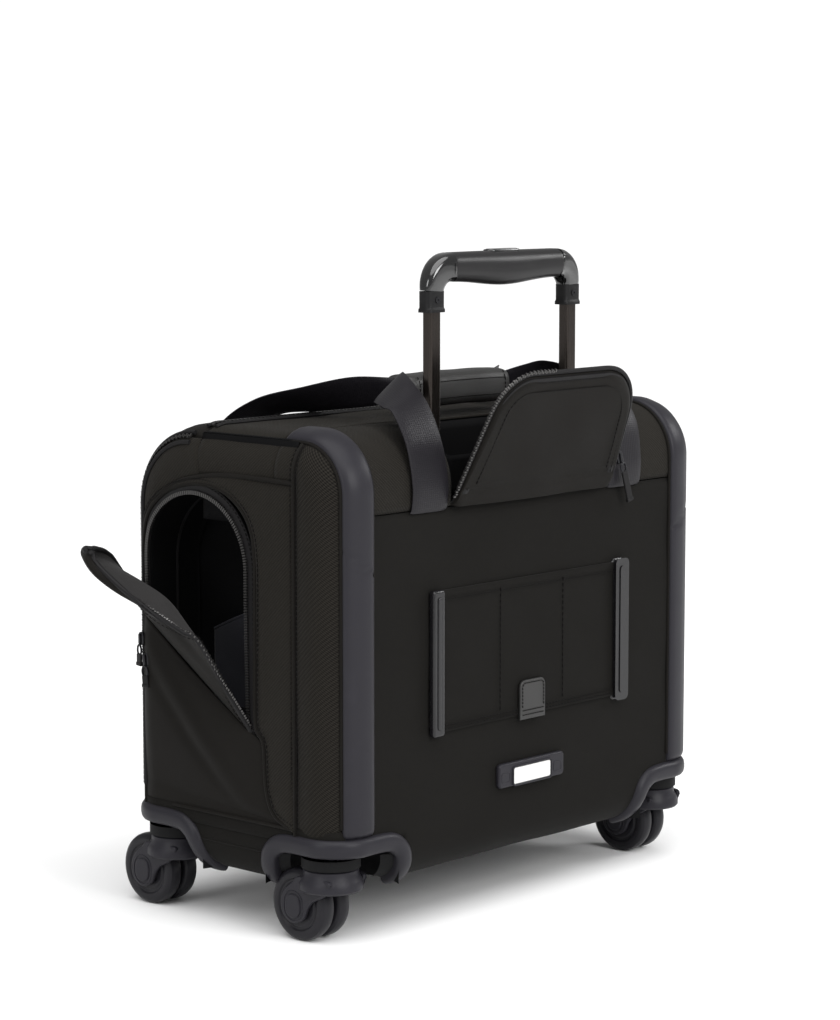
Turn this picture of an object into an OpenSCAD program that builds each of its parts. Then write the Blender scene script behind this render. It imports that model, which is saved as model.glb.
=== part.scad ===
// Rolling laptop case: a soft briefcase on four twin-wheel casters, with a
// three-stage telescoping handle. Millimetres, +Z up, floor at z = 0.
// The front (lid side) faces -Y, the back (handle side) faces +Y.

/* [Body] */
// Width over the side panels
body_w = 416; // [410:1:424]
// Depth from the lid to the back panel
body_d = 215; // [210:1:220]
// Height of the underside above the floor
under_z = 38; // [36:1:39]
// Height of the top above the floor
top_z = 368; // [364:1:372]
// Thickness of the body's skin
skin = 4; // [3.5:0.5:4.5]

/* [Casters] */
// Wheel radius
wheel_r = 27; // [26:0.5:27.5]
// Width of one wheel of a pair
wheel_w = 13; // [11:0.5:13]
// Distance from the swivel axis to the wheel axle
trail = 20; // [18:0.5:21]
// Radius of the wheel well
well_r = 51; // [50:0.5:53]

/* [Handle] */
// Distance between the two telescoping posts
post_gap = 156; // [154:1:158]
// How far the grip stands up at rest above its stowed height
grip_lift = 130; // [100:1:140]
// Size of the innermost tube across the case
tube_w = 12; // [11:0.5:12.5]
// Size of the innermost tube front to back
tube_d = 9; // [8:0.5:9.5]

/* [Pockets and flaps] */
// Half the width of the side pocket's opening
pocket_r = 57; // [52:1:58]
// How far the side pocket's flap stands open
side_flap_angle = 58; // [45:1:65]
// How far the back flap leans out at rest
back_flap_angle = 24; // [15:1:30]

/* [Hidden] */
$fn = 48;

gap = 0.3;              // clearance between neighbouring pieces
half_w = body_w / 2;
back_y = 108;
front_y = back_y - body_d;
arc_steps = 8;          // segments in a quarter of a body corner

foot_r = 28;            // rounding of the bottom edges
back_top_r = 42;        // rounding of the top back edge
front_top_r = 62;       // rounding of the top front edge
shoulder_r = 30;        // rounding between a side and the top
back_corner_r = 15;     // upright corner at the back
front_corner_r = 24;    // upright corner at the front

rail_x0 = 173;
rail_x1 = 196;
rail_proud = 2;
rail_end_y = 46;
seam_z = 310;           // seam between the back panel and the yoke
band_y = 58;            // seam between the mesh band and the side panel
lid_z = 90;             // fold line of the lid
lid_y = -98;            // zip line on the side panel
lid_top_y = -36;        // zip line across the top
swivel_x = half_w - 22;
swivel_y = 80;
shelf_z = 64;           // roof of a wheel well
lip_z = 82;             // top of a corner housing
rim = 10;               // width of a corner housing's rim
collar_r = 21.5;
collar_z = 56;
stem_r = 5;
stem_top = 79;
post_x = post_gap / 2;
post_y = 80;
tube_wall = 1;
tube_slip = 0.15;       // clearance of one tube in the next
stowed_z = 320;         // underside of the sleeves when the handle is stowed
sleeve_z = stowed_z + grip_lift;
bar_z = sleeve_z + 31.5;
foot_z = 48;            // foot of the outer tubes
well_floor_z = 316;
flap_half = 88;         // half the width of the yoke's opening
flap_fold = 44;         // length of the back flap below its fold
flap_len = 102;
flap_corner_r = 32;
flap_back_t = 5.5;
pocket_y = -35;         // centre of the side pocket
pocket_arc_z = 266;     // centre of its round top
pocket_floor_z = 143;
fold_front_z = 228;     // the flap's fold line at its front end
fold_back_z = 150;      // and at its back end
flap_t = 3;
flap_slack = 2;         // room round the side pocket's flap for its zip
board_z = shelf_z + 4;  // just above the roofs of the wheel wells

function arc(cx, cy, r, from, to, n = arc_steps) =
    [for (i = [0 : n]) let (a = from + (to - from) * i / n) [cx + r * cos(a), cy + r * sin(a)]];

// Side view of the body, grown by g: [y, z] points, anticlockwise.
function side_outline(g) = concat(
    arc(back_y - foot_r, under_z + foot_r, foot_r + g, -90, 0),
    arc(back_y - back_top_r, top_z - back_top_r, back_top_r + g, 0, 90),
    arc(front_y + front_top_r, top_z - front_top_r, front_top_r + g, 90, 180),
    arc(front_y + foot_r, under_z + foot_r, foot_r + g, 180, 270));
// Front view of the body: [x, z] points.
function front_outline(g) = concat(
    arc(half_w - foot_r, under_z + foot_r, foot_r + g, -90, 0),
    arc(half_w - shoulder_r, top_z - shoulder_r, shoulder_r + g, 0, 90),
    arc(shoulder_r - half_w, top_z - shoulder_r, shoulder_r + g, 90, 180),
    arc(foot_r - half_w, under_z + foot_r, foot_r + g, 180, 270));
// Plan of the body: [x, y] points.
function plan_outline(g) = concat(
    arc(half_w - front_corner_r, front_y + front_corner_r, front_corner_r + g, -90, 0),
    arc(half_w - back_corner_r, back_y - back_corner_r, back_corner_r + g, 0, 90),
    arc(back_corner_r - half_w, back_y - back_corner_r, back_corner_r + g, 90, 180),
    arc(front_corner_r - half_w, front_y + front_corner_r, front_corner_r + g, 180, 270));

// Extrudes a [y, z] outline along X from x0 to x1.
module along_x(x0, x1) translate([x0, 0, 0]) rotate([90, 0, 90]) linear_extrude(x1 - x0) children();

module body_form(g = 0) {
    intersection() {
        along_x(-half_w - 20, half_w + 20) polygon(side_outline(g));
        translate([0, 160, 0]) rotate([90, 0, 0]) linear_extrude(320) polygon(front_outline(g));
        linear_extrude(420) polygon(plan_outline(g));
    }
}

module body_skin() {
    difference() {
        body_form();
        body_form(-skin);
    }
}

module block(x0, x1, y0, y1, z0, z1) translate([x0, y0, z0]) cube([x1 - x0, y1 - y0, z1 - z0]);

// A piece made for the left side (+X), or its mirror image for the right.
module on_side(side) {
    if (side > 0) children();
    else mirror([1, 0, 0]) children();
}

// ---- corner housings and casters ----

// Volume around one swivel axis: a cylinder with a rounded top edge.
module well_volume(r, z1, edge) {
    rotate_extrude($fn = 96)
        polygon(concat([[0, under_z - 10], [r, under_z - 10]], arc(r - edge, z1 - edge, edge, 0, 90, 6), [[0, z1]]));
}

module at_swivel(sx, sy) translate([sx * swivel_x, sy * swivel_y, 0]) children();

module four_corners() for (sx = [-1, 1], sy = [-1, 1]) at_swivel(sx, sy) children();

module corner_cut() four_corners() well_volume(well_r + rim + gap, lip_z + gap, 20);

module corner_housing(sx, sy) {
    color("#3a3a40")
    difference() {
        intersection() {
            union() {
                // rim and lip on the outside of the body
                difference() {
                    body_form(1.5);
                    body_form(-skin);
                    at_swivel(sx, sy) well_volume(well_r, shelf_z, 14);
                }
                // liner of the well, its roof and the socket's boss
                intersection() {
                    body_form(-skin);
                    at_swivel(sx, sy) difference() {
                        union() {
                            well_volume(well_r + 3, shelf_z + 3, 16);
                            cylinder(r = 14, h = lip_z + 2);
                        }
                        well_volume(well_r, shelf_z, 14);
                    }
                }
            }
            at_swivel(sx, sy) well_volume(well_r + rim, lip_z, 20);
        }
        at_swivel(sx, sy) translate([0, 0, collar_z - 1]) cylinder(r = stem_r + 0.05, h = 60);
    }
    // collar that the fork turns under
    color("#3a3a40") at_swivel(sx, sy) difference() {
        translate([0, 0, collar_z]) cylinder(r = collar_r, h = shelf_z - collar_z);
        translate([0, 0, collar_z - 1]) cylinder(r = stem_r + 0.05, h = 20);
    }
}

// Side view of a fork cheek: a plate from the neck down to the axle cap.
module fork_cheek(x0, x1) {
    along_x(x0, x1) polygon([[-17, 50], [16, 50], [12, 41], [0, 38], [-8, 30], [-13, 19], [-30, 21],
        [-32, 28], [-31, 36], [-24, 44]]);
    translate([x0, -trail, wheel_r]) rotate([0, 90, 0]) cylinder(r = 12.5, h = x1 - x0);
}

module fork(sx, sy) {
    cheek_in = wheel_w + 2.2;
    cheek_out = cheek_in + 3;
    color("#36363c") at_swivel(sx, sy) difference() {
        union() {
            translate([0, 0, 40]) cylinder(r1 = 23.5, r2 = 22.5, h = 8);
            translate([0, 0, 47.9]) cylinder(r1 = 22.4, r2 = 19.5, h = 4);
            translate([0, 0, 51.8]) cylinder(r = 19.5, h = collar_z - gap - 51.8);
            translate([0, 0, 46]) cylinder(r = stem_r, h = stem_top - 46);
            fork_cheek(cheek_in, cheek_out);
            fork_cheek(-cheek_out, -cheek_in);
        }
        // room for the wheels
        translate([-cheek_in, -trail, wheel_r]) rotate([0, 90, 0]) cylinder(r = wheel_r + 1.3, h = 2 * cheek_in, $fn = 96);
        block(-cheek_in, cheek_in, -trail - wheel_r - 2, wheel_r - trail, 0, wheel_r);
        block(-30, 30, 0.5, 30, -1, 39.9);
        translate([-30, -trail, wheel_r]) rotate([0, 90, 0]) cylinder(r = 3.55, h = 60);
    }
}

module axle(sx, sy) {
    color("silver") at_swivel(sx, sy) translate([-wheel_w - 5, -trail, wheel_r]) rotate([0, 90, 0])
        cylinder(r = 3.5, h = 2 * wheel_w + 10);
}

// One wheel of a pair: place is 1 on the side away from the case's middle.
module wheel(sx, sy, place) {
    shoulder = 4.5;
    color("#2c2c30") at_swivel(sx, sy)
        translate([sx * place * (wheel_w / 2 + 1.5), -trail, wheel_r]) rotate([0, 90, 0])
        rotate_extrude($fn = 72) polygon(concat(
            [[3.6, -wheel_w / 2]],
            arc(wheel_r - shoulder, shoulder - wheel_w / 2, shoulder, -90, 0, 6),
            arc(wheel_r - shoulder, wheel_w / 2 - shoulder, shoulder, 0, 90, 6),
            [[3.6, wheel_w / 2]]));
}

// ---- shell panels ----

// Floor of the body, turned up at the front as far as the lid's fold.
module base_tray() {
    color("#262626") difference() {
        intersection() {
            body_skin();
            union() {
                block(-half_w, half_w, front_y + foot_r - 1, back_y - foot_r - gap, 0, under_z + foot_r);
                block(-half_w, half_w, front_y - 1, front_y + foot_r, 0, lid_z - gap);
            }
        }
        corner_cut();
    }
}

module back_panel() {
    color("#242322") difference() {
        intersection() {
            body_skin();
            block(-rail_x0 + gap, rail_x0 - gap, back_y - foot_r, back_y + 1, 0, seam_z);
        }
        corner_cut();
    }
    // ends beside the rails' feet, under the rails
    for (side = [-1, 1]) color("#242322") on_side(side) difference() {
        intersection() {
            body_skin();
            block(rail_x0 + gap, half_w, back_y - foot_r, back_y + 1, 0, lip_z - gap);
        }
        corner_cut();
    }
}

module back_yoke() {
    color("#242322") difference() {
        intersection() {
            body_skin();
            block(-rail_x0 + gap, rail_x0 - gap, rail_end_y, back_y + 1, seam_z + gap, 400);
        }
        block(-flap_half, flap_half, rail_end_y + 8, back_y + 2, seam_z + 3, 400);
    }
}

module top_panel() {
    color("#2a2927") intersection() {
        body_skin();
        block(shoulder_r - half_w, half_w - shoulder_r, lid_top_y + gap, rail_end_y - gap, 300, 400);
    }
}

// [y, z] region of the skin that belongs to the lid, grown by g towards the case.
module lid_zone(g = 0) {
    zip_r = front_top_r - 9;
    polygon(concat(
        [[-200, lid_z], [lid_y + g, lid_z]],
        [for (p = arc(front_y + front_top_r, top_z - front_top_r, zip_r - g, 180, 100)) p],
        [[lid_top_y + g, top_z - 9], [lid_top_y + g, 500], [-200, 500]]));
}

module front_lid() {
    color("#272624") difference() {
        intersection() {
            body_skin();
            along_x(-half_w - 1, half_w + 1) lid_zone();
        }
        corner_cut();
    }
}

module side_band(side) {
    color("#33302a") on_side(side) difference() {
        intersection() {
            body_skin();
            block(rail_x1 + gap, half_w + 1, band_y + gap, back_y + 1, under_z, 400);
        }
        corner_cut();
    }
}

// Outline of the side pocket's opening above the fold line, shrunk by s: [y, z].
function fold_z(y) = fold_front_z + (fold_back_z - fold_front_z) * (y - pocket_y + pocket_r) / (2 * pocket_r);
function pocket_mouth(s) = concat(
    [[pocket_y - pocket_r + s, fold_z(pocket_y - pocket_r) + s],
     [pocket_y + pocket_r - s, fold_z(pocket_y + pocket_r) + s]],
    arc(pocket_y, pocket_arc_z, pocket_r - s, 0, 180, 20));
// The whole pocket, down to its floor.
function pocket_tub(s) = concat(
    [[pocket_y - pocket_r + s, pocket_floor_z + s], [pocket_y + pocket_r - s, pocket_floor_z + s]],
    arc(pocket_y, pocket_arc_z, pocket_r - s, 0, 180, 20));

module side_panel(side) {
    color("#2b2926") difference() {
        on_side(side) intersection() {
            body_skin();
            union() {
                block(rail_x1 + gap, half_w + 1, -120, band_y - gap, under_z + foot_r + gap, 400);
                block(half_w - shoulder_r + gap, rail_x1 + gap + 1, -120, rail_end_y - gap, 300, 400);
            }
        }
        along_x(-half_w - 2, half_w + 2) lid_zone(gap);
        block(-half_w - 2, half_w + 2, front_y - 1, front_y + foot_r + gap, 0, lid_z + gap);
        corner_cut();
        if (side > 0) along_x(half_w - 20, half_w + 20) polygon(pocket_mouth(0));
    }
}

module bumper_rail(side) {
    color("#45454b") on_side(side) intersection() {
        along_x(rail_x0, rail_x1) difference() {
            polygon(side_outline(rail_proud));
            polygon(side_outline(-skin - 1));
        }
        union() {
            block(0, 300, back_y - foot_r, 200, lip_z + gap, back_y + 200);
            block(0, 300, rail_end_y, 200, 300, 400);
        }
    }
}

// ---- telescoping handle ----

module round_bar(w, d, r, h) {
    linear_extrude(h) union() {
        square([w - 2 * r, d], center = true);
        square([w, d - 2 * r], center = true);
        for (i = [-1, 1], j = [-1, 1]) translate([i * (w / 2 - r), j * (d / 2 - r)]) circle(r = r);
    }
}

module at_posts() for (s = [-1, 1]) translate([s * post_x, post_y, 0]) children();

// Pair of tubes of one stage. Stage 0 is the innermost and slides in stage 1.
module stage_tubes(stage, z0, z1) {
    grow = 2 * stage * (tube_wall + tube_slip);
    at_posts() translate([0, 0, z0]) difference() {
        round_bar(tube_w + grow, tube_d + grow, 2.5 + grow / 2, z1 - z0);
        translate([0, 0, -1]) round_bar(tube_w + grow - 2 * tube_wall, tube_d + grow - 2 * tube_wall,
            1.5 + grow / 2, z1 - z0 + 2);
    }
}

module handle_foot_block() {
    color("#202020") difference() {
        intersection() {
            block(-post_x - 16, post_x + 16, 66, 94, 0, 62);
            body_form(-skin - gap);
        }
        at_posts() translate([0, 0, foot_z - 0.1]) round_bar(tube_w + 7.1, tube_d + 7.1, 6, 30);
    }
}

module handle_well() {
    color("#191919") difference() {
        block(-flap_half - 3, flap_half + 3, rail_end_y + 10, back_y - skin - 1.5, well_floor_z, top_z - skin - 1);
        block(-flap_half, flap_half, rail_end_y + 12.5, back_y, well_floor_z + 3, top_z);
        at_posts() translate([0, 0, well_floor_z - 1]) round_bar(tube_w + 7.1, tube_d + 7.1, 6, 10);
        // follows the curve of the back under the yoke
        along_x(-half_w, half_w) difference() {
            translate([0, 200]) square([300, 300]);
            polygon(side_outline(-skin - gap));
        }
    }
}

module grip_sleeves() {
    color("#1c1c1e") for (s = [-1, 1]) translate([s * post_x, post_y, sleeve_z]) {
        difference() {
            round_bar(14.5, 11.5, 3, 16);
            translate([0, 0, -1]) round_bar(tube_w + 0.1, tube_d + 0.1, 2.5, 14);
        }
        // elbow: a quarter turn inwards from the sleeve to the grip bar
        translate([-s * 16, 0, 15.9]) rotate([90, 0, 0])
            rotate([0, 0, s > 0 ? 0 : 90]) rotate_extrude(angle = 90, $fn = 64)
            translate([16, 0]) union() {
                square([9.5, 11.5], center = true);
                square([14.5, 6.5], center = true);
            }
    }
}

// Barrel-shaped grip, thickest in the middle.
module grip_bar() {
    bar_x = post_x - 16.2;
    color("#2a2a2c") difference() {
        translate([0, post_y, bar_z]) rotate([0, 90, 0]) rotate_extrude($fn = 64) polygon(concat(
            [[0, -bar_x]], [for (k = [-2 : 2]) [11.3 - k * k / 2, k * bar_x / 2]], [[0, bar_x]]));
        block(-17.5, 17.5, post_y - 5.5, post_y + 5.5, bar_z + 4, bar_z + 20);
    }
}

module grip_button() {
    color("#161618") translate([0, post_y, bar_z + 7.2]) round_bar(34.4, 10.4, 5, 5.3);
}

module grip_screws() {
    color("#56565a") for (s = [-1, 1]) translate([s * post_x, post_y + 5.75, sleeve_z + 9]) rotate([-90, 0, 0])
        difference() {
            cylinder(r = 2.4, h = 0.7);
            translate([0, 0, 0.3]) cylinder(r = 1, h = 2);
        }
}

// ---- pockets, flaps and inner pieces ----

module side_pocket_liner() {
    back_x = half_w - skin - 54;
    wall = 1.5;
    color("#17171a") difference() {
        intersection() {
            along_x(back_x, half_w) polygon(pocket_tub(-wall));
            body_form(-skin - gap);
        }
        along_x(back_x + wall, half_w + 1) polygon(pocket_tub(0));
    }
}

module side_pocket_flap() {
    fold_dir = [0, 2 * pocket_r, fold_back_z - fold_front_z];
    color("#2c2a28") translate([half_w, pocket_y - pocket_r, fold_front_z]) rotate(a = side_flap_angle, v = fold_dir)
        translate([-half_w, pocket_r - pocket_y, -fold_front_z])
        along_x(half_w - flap_t, half_w) polygon(pocket_mouth(flap_slack));
}

module right_pocket_panel() {
    color("#2b2926") difference() {
        intersection() {
            difference() {
                body_form(6);
                body_form(gap);
            }
            along_x(-half_w - 20, -half_w + 4) polygon(concat(
                arc(72, 104, 16, -90, 0, 4), arc(66, 312, 22, 0, 90, 4),
                arc(-42, 282, 50, 90, 180, 8), arc(-76, 104, 16, 180, 270, 4)));
        }
        corner_cut();
    }
}

module front_pocket() {
    color("#292826") intersection() {
        difference() {
            body_form(17);
            body_form(gap);
        }
        translate([0, front_y + 20, 0]) rotate([90, 0, 0]) linear_extrude(60) polygon(concat(
            arc(142, 132, 28, -90, 0, 5), arc(134, 272, 36, 0, 90, 6),
            arc(-134, 272, 36, 90, 180, 6), arc(-142, 132, 28, 180, 270, 5)));
    }
}

// Part of the back flap from one height to another along its length.
module back_flap(from, to) {
    color("#292826") translate([0, back_y + 2, seam_z + 2]) rotate([-back_flap_angle, 0, 0])
        rotate([90, 0, 0]) translate([0, 0, -flap_back_t]) linear_extrude(flap_back_t)
        intersection() {
            polygon(concat([[-90, 0], [90, 0]], arc(81 - flap_corner_r, flap_len - flap_corner_r, flap_corner_r, 8, 90, 6),
                arc(flap_corner_r - 81, flap_len - flap_corner_r, flap_corner_r, 90, 172, 6)));
            translate([-100, from]) square([200, to - from]);
        }
}

module strap_panel() {
    color("#242322") block(-97, 97, back_y + gap, back_y + 2.2, 146, 250);
}

module strap_panel_bars() {
    color("#3f3f46") for (s = [-1, 1]) translate([s * 106.5, back_y + gap, 144]) linear_extrude(106)
        polygon([[-6, 0], [6, 0], [6, 3.5], [4, 5.7], [-4, 5.7], [-6, 3.5]]);
}

module snap_tab() {
    color("#3a3a42") translate([0, back_y + 2.6, 0]) rotate([90, 0, 0]) translate([0, 0, -2.6]) linear_extrude(2.6)
        polygon(concat([[-14.5, 144], [14.5, 144]], arc(9.5, 166, 5, 0, 90, 4), arc(-9.5, 166, 5, 90, 180, 4)));
}

module id_plate() {
    color("#3f3f46") difference() {
        translate([0, back_y + gap, 93]) linear_extrude(18)
            polygon([[-37.5, 0], [37.5, 0], [36, 4.2], [-36, 4.2]]);
        block(-20.2, 20.2, back_y + 3.6, back_y + 9, 95.3, 105.7);
    }
}

module id_card() {
    color("white") block(-20, 20, back_y + 3.7, back_y + 4.3, 95.5, 105.5);
}

module rear_board() {
    color("#151515") difference() {
        block(-170, 170, 53, 55.5, under_z + skin + 0.5, well_floor_z - 1);
        four_corners() well_volume(well_r + 3 + gap, shelf_z + 3 + gap, 16);
    }
}

module laptop_sleeve() {
    color("#1b1b1b") difference() {
        block(-166, 166, 24, 52.7, board_z, 290);
        block(-161, 161, 29, 60, board_z + 5, 300);
    }
}

// ---- carry handle ----

// Catmull-Rom point between p[i] and p[i + 1] at t, for any list of vectors.
function spline(p, i, t) =
    let (n = len(p) - 1, a = p[max(i - 1, 0)], b = p[i], c = p[min(i + 1, n)], d = p[min(i + 2, n)])
    0.5 * (2 * b + (c - a) * t + (2 * a - 5 * b + 4 * c - d) * t * t + (3 * b - a - 3 * c + d) * t * t * t);
function smooth(p, steps) = concat(
    [for (i = [0 : len(p) - 2], k = [0 : steps - 1]) spline(p, i, k / steps)], [p[len(p) - 1]]);
function unit(v) = v / norm(v);

// A flat webbing strap t thick along a path of centre points, with a width vector at each.
module webbing(path, widths, t, steps = 5) {
    c = smooth(path, steps);
    w = smooth(widths, steps);
    n = len(c);
    ring = [for (i = [0 : n - 1])
        let (tangent = unit(c[min(i + 1, n - 1)] - c[max(i - 1, 0)]),
             side = w[i] / 2,
             up = unit(cross(tangent, w[i])) * t / 2)
        [c[i] - side - up, c[i] + side - up, c[i] + side + up, c[i] - side + up]];
    points = [for (r = ring, p = r) p];
    polyhedron(points, concat(
        [[3, 2, 1, 0]],
        [for (i = [0 : n - 2], k = [0 : 3]) let (j = (k + 1) % 4) [4 * i + k, 4 * i + j, 4 * i + 4 + j]],
        [for (i = [0 : n - 2], k = [0 : 3]) let (j = (k + 1) % 4) [4 * i + k, 4 * i + 4 + j, 4 * i + 4 + k]],
        [[4 * n - 4, 4 * n - 3, 4 * n - 2, 4 * n - 1]]));
}

strap_t = 2.2;
back_strap_path = [[113, 110, 308], [113, 110, 330], [114, 105, 358], [112, 90, 382], [109, 75, 392],
    [96, 54, 399], [78, 42, 394], [56.4, 31, 388]];
back_strap_width = [[38, 0, 0], [38, 0, 0], [38, 0, 0], [38, 0, -3], [37, 0, -8], [35, 0, -16], [18, -5, -26],
    [0, -4, -22]];
front_strap_path = [[113, -109.3, 310], [113, -106.5, 330], [110, -92, 356], [104, -64, 374],
    [93, -30, 381], [78, 2, 387], [56.4, 21, 388]];
front_strap_width = [[38, 0, 0], [38, 0, 0], [36, 2, 10], [32, 6, 14], [26, 8, 22], [8, 6, 33], [0, 2, 22]];

module carry_strap_back() {
    color("#3b3a42") for (side = [-1, 1]) on_side(side) webbing(back_strap_path, back_strap_width, strap_t);
}

module carry_strap_front() {
    color("#3b3a42") for (side = [-1, 1]) on_side(side) webbing(front_strap_path, front_strap_width, strap_t);
}

// One half of the padded wrap: side is 1 for the back half and -1 for the front half.
module carry_wrap(side) {
    color("#2c2b2a") translate([-55.5, 27, 387]) rotate([90, 0, 90]) linear_extrude(111) intersection() {
        union() {
            square([22, 25], center = true);
            square([30, 17], center = true);
            for (i = [-1, 1], j = [-1, 1]) translate([i * 11, j * 8.5]) circle(r = 4);
        }
        translate([side > 0 ? gap / 2 : -20, -20]) square([20 - gap / 2, 40]);
    }
}

// ---- zip sliders and pulls ----

// A slider with a ring and a hanging tab, flat against a face whose normal is +X.
module zip_pull() {
    block(0, 3.5, -3.5, 3.5, -5, 5);
    translate([4.5, 0, -9]) rotate([0, 90, 0]) difference() {
        cylinder(r = 4.5, h = 1.4, center = true);
        cylinder(r = 2.8, h = 3, center = true);
    }
    translate([3.6, 0, -40]) linear_extrude(27) square([1.8, 8], center = true);
}

module case_zip_pulls() {
    color("#2e2e32") {
        translate([half_w + gap, lid_y + 3.5, 205]) zip_pull();
        translate([half_w + gap, pocket_y - pocket_r + 5, 188]) zip_pull();
        translate([-half_w - 6 - gap, 82, 192]) rotate([0, 0, 180]) zip_pull();
        translate([-103, back_y + 4, 332]) rotate([0, -18, 0]) rotate([0, 0, 90]) zip_pull();
    }
}

module front_zip_pulls() {
    color("#2e2e32") for (s = [-1, 1]) translate([s * 40, front_y - 17 - gap, 265]) rotate([0, 0, -90]) zip_pull();
}

// ---- what is drawn ----

base_tray();
back_panel();
back_yoke();
top_panel();
side_band(1);  // side_band_left
side_band(-1);  // side_band_right
side_panel(1);  // side_panel_left
side_panel(-1);  // side_panel_right
bumper_rail(1);  // bumper_rail_left
bumper_rail(-1);  // bumper_rail_right
corner_housing(1, 1);  // corner_housing_back_left
corner_housing(-1, 1);  // corner_housing_back_right
corner_housing(1, -1);  // corner_housing_front_left
corner_housing(-1, -1);  // corner_housing_front_right
fork(1, 1);  // fork_back_left
fork(-1, 1);  // fork_back_right
fork(1, -1);  // fork_front_left
fork(-1, -1);  // fork_front_right
axle(1, 1);  // axle_back_left
axle(-1, 1);  // axle_back_right
axle(1, -1);  // axle_front_left
axle(-1, -1);  // axle_front_right
wheel(1, 1, 1);  // wheel_back_left_outer
wheel(1, 1, -1);  // wheel_back_left_inner
wheel(-1, 1, 1);  // wheel_back_right_outer
wheel(-1, 1, -1);  // wheel_back_right_inner
wheel(1, -1, 1);  // wheel_front_left_outer
wheel(1, -1, -1);  // wheel_front_left_inner
wheel(-1, -1, 1);  // wheel_front_right_outer
wheel(-1, -1, -1);  // wheel_front_right_inner
handle_well();
handle_foot_block();
color("#6a6a6e") stage_tubes(3, foot_z, stowed_z - 2);  // outer_tubes
color("#4a4644") stage_tubes(2, foot_z + 1, stowed_z - 1.3);  // stage_one_tubes
color("#4a4644") stage_tubes(1, foot_z + 2, stowed_z - 0.6);  // stage_two_tubes
color("#3c3735") stage_tubes(0, sleeve_z - 270, sleeve_z + 12.5);  // inner_tubes
grip_sleeves();
grip_bar();
grip_button();
grip_screws();
front_lid();
front_pocket();
front_zip_pulls();
side_pocket_liner();
side_pocket_flap();
right_pocket_panel();
back_flap(0.6, flap_fold - gap / 2);  // back_flap_lower
back_flap(flap_fold + gap / 2, flap_len);  // back_flap_upper
strap_panel();
strap_panel_bars();
snap_tab();
id_plate();
id_card();
carry_strap_front();
carry_strap_back();
carry_wrap(1);  // carry_wrap_back
carry_wrap(-1);  // carry_wrap_front
rear_board();
laptop_sleeve();
case_zip_pulls();
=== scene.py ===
"""Looks of a rolling laptop case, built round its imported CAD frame.

Each surface is a grid of points worked out in millimetres, and put() takes it into the scene in metres.
On the body a place is a length along its side view and a width across it, or (y, z) on its sides. Creases
are bell curves across a line, and slack is a sum of crossed waves.
"""
import math

import bpy
import numpy as np
from mathutils import Matrix, Vector


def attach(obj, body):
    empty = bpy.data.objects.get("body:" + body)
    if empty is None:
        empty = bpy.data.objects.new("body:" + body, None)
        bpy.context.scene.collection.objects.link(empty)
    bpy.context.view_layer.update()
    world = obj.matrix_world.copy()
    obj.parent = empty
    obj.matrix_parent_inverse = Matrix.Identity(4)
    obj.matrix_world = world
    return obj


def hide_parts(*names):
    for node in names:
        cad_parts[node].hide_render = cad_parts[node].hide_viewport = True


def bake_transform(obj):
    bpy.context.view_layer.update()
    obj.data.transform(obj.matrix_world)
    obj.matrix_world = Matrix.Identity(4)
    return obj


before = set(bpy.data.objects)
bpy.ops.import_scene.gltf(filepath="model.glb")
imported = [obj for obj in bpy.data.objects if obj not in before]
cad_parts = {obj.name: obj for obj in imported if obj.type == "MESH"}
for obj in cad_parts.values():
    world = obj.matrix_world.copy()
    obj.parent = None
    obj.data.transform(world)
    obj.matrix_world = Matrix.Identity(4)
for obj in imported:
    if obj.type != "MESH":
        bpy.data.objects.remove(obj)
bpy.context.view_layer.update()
MM = 0.001

# Body, as the CAD has it
HALF_W = 208.0
BACK_Y = 108.0
FRONT_Y = -107.0
UNDER_Z = 38.0
TOP_Z = 368.0
EDGE_R = 28.0            # rounding of every edge that runs round a side
FOOT_R = 28.0
BACK_TOP_R = 42.0
FRONT_TOP_R = 62.0
SEAM_Z = 310.0
BAND_Y = 67.0
SWIVEL = (186.0, 80.0)
WELL_R = 53.0
TRAIL = 20.0
WHEEL_R = 27.0
POST_X = 78.0
POST_Y = 80.0
SLEEVE_Z = 450.0
BAR_Z = SLEEVE_Z + 31.5
POCKET_Y = -35.0
POCKET_R = 57.0
POCKET_ARC_Z = 266.0
FOLD_FRONT_Z = 228.0
FOLD_BACK_Z = 150.0
BACK_FLAP_LEAN = math.radians(24)
FLAP_LEN = 103.0
FLAP_R = 32.0
FLAP_FAR_R = 46.0
RAIL_IN = 175.0          # half-width of the cloth between the rails
WELL_HALF = 88.0         # half-width of the handle's well
WELL_FLOOR = 319.5
COLLAR_TOP = 321.4       # top of the collars round the posts
YOKE_L = 244.0           # the yoke's seam, as a length along the side view

LEFTWARD = np.array([1.0, 0, 0])

# Thickness of the padded panels, the pockets' cloth and the linings
PANEL_WALL = 1.5
POCKET_WALL = 1.2
LINING_WALL = 0.8


# ---- camera, light and floor ----

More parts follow.
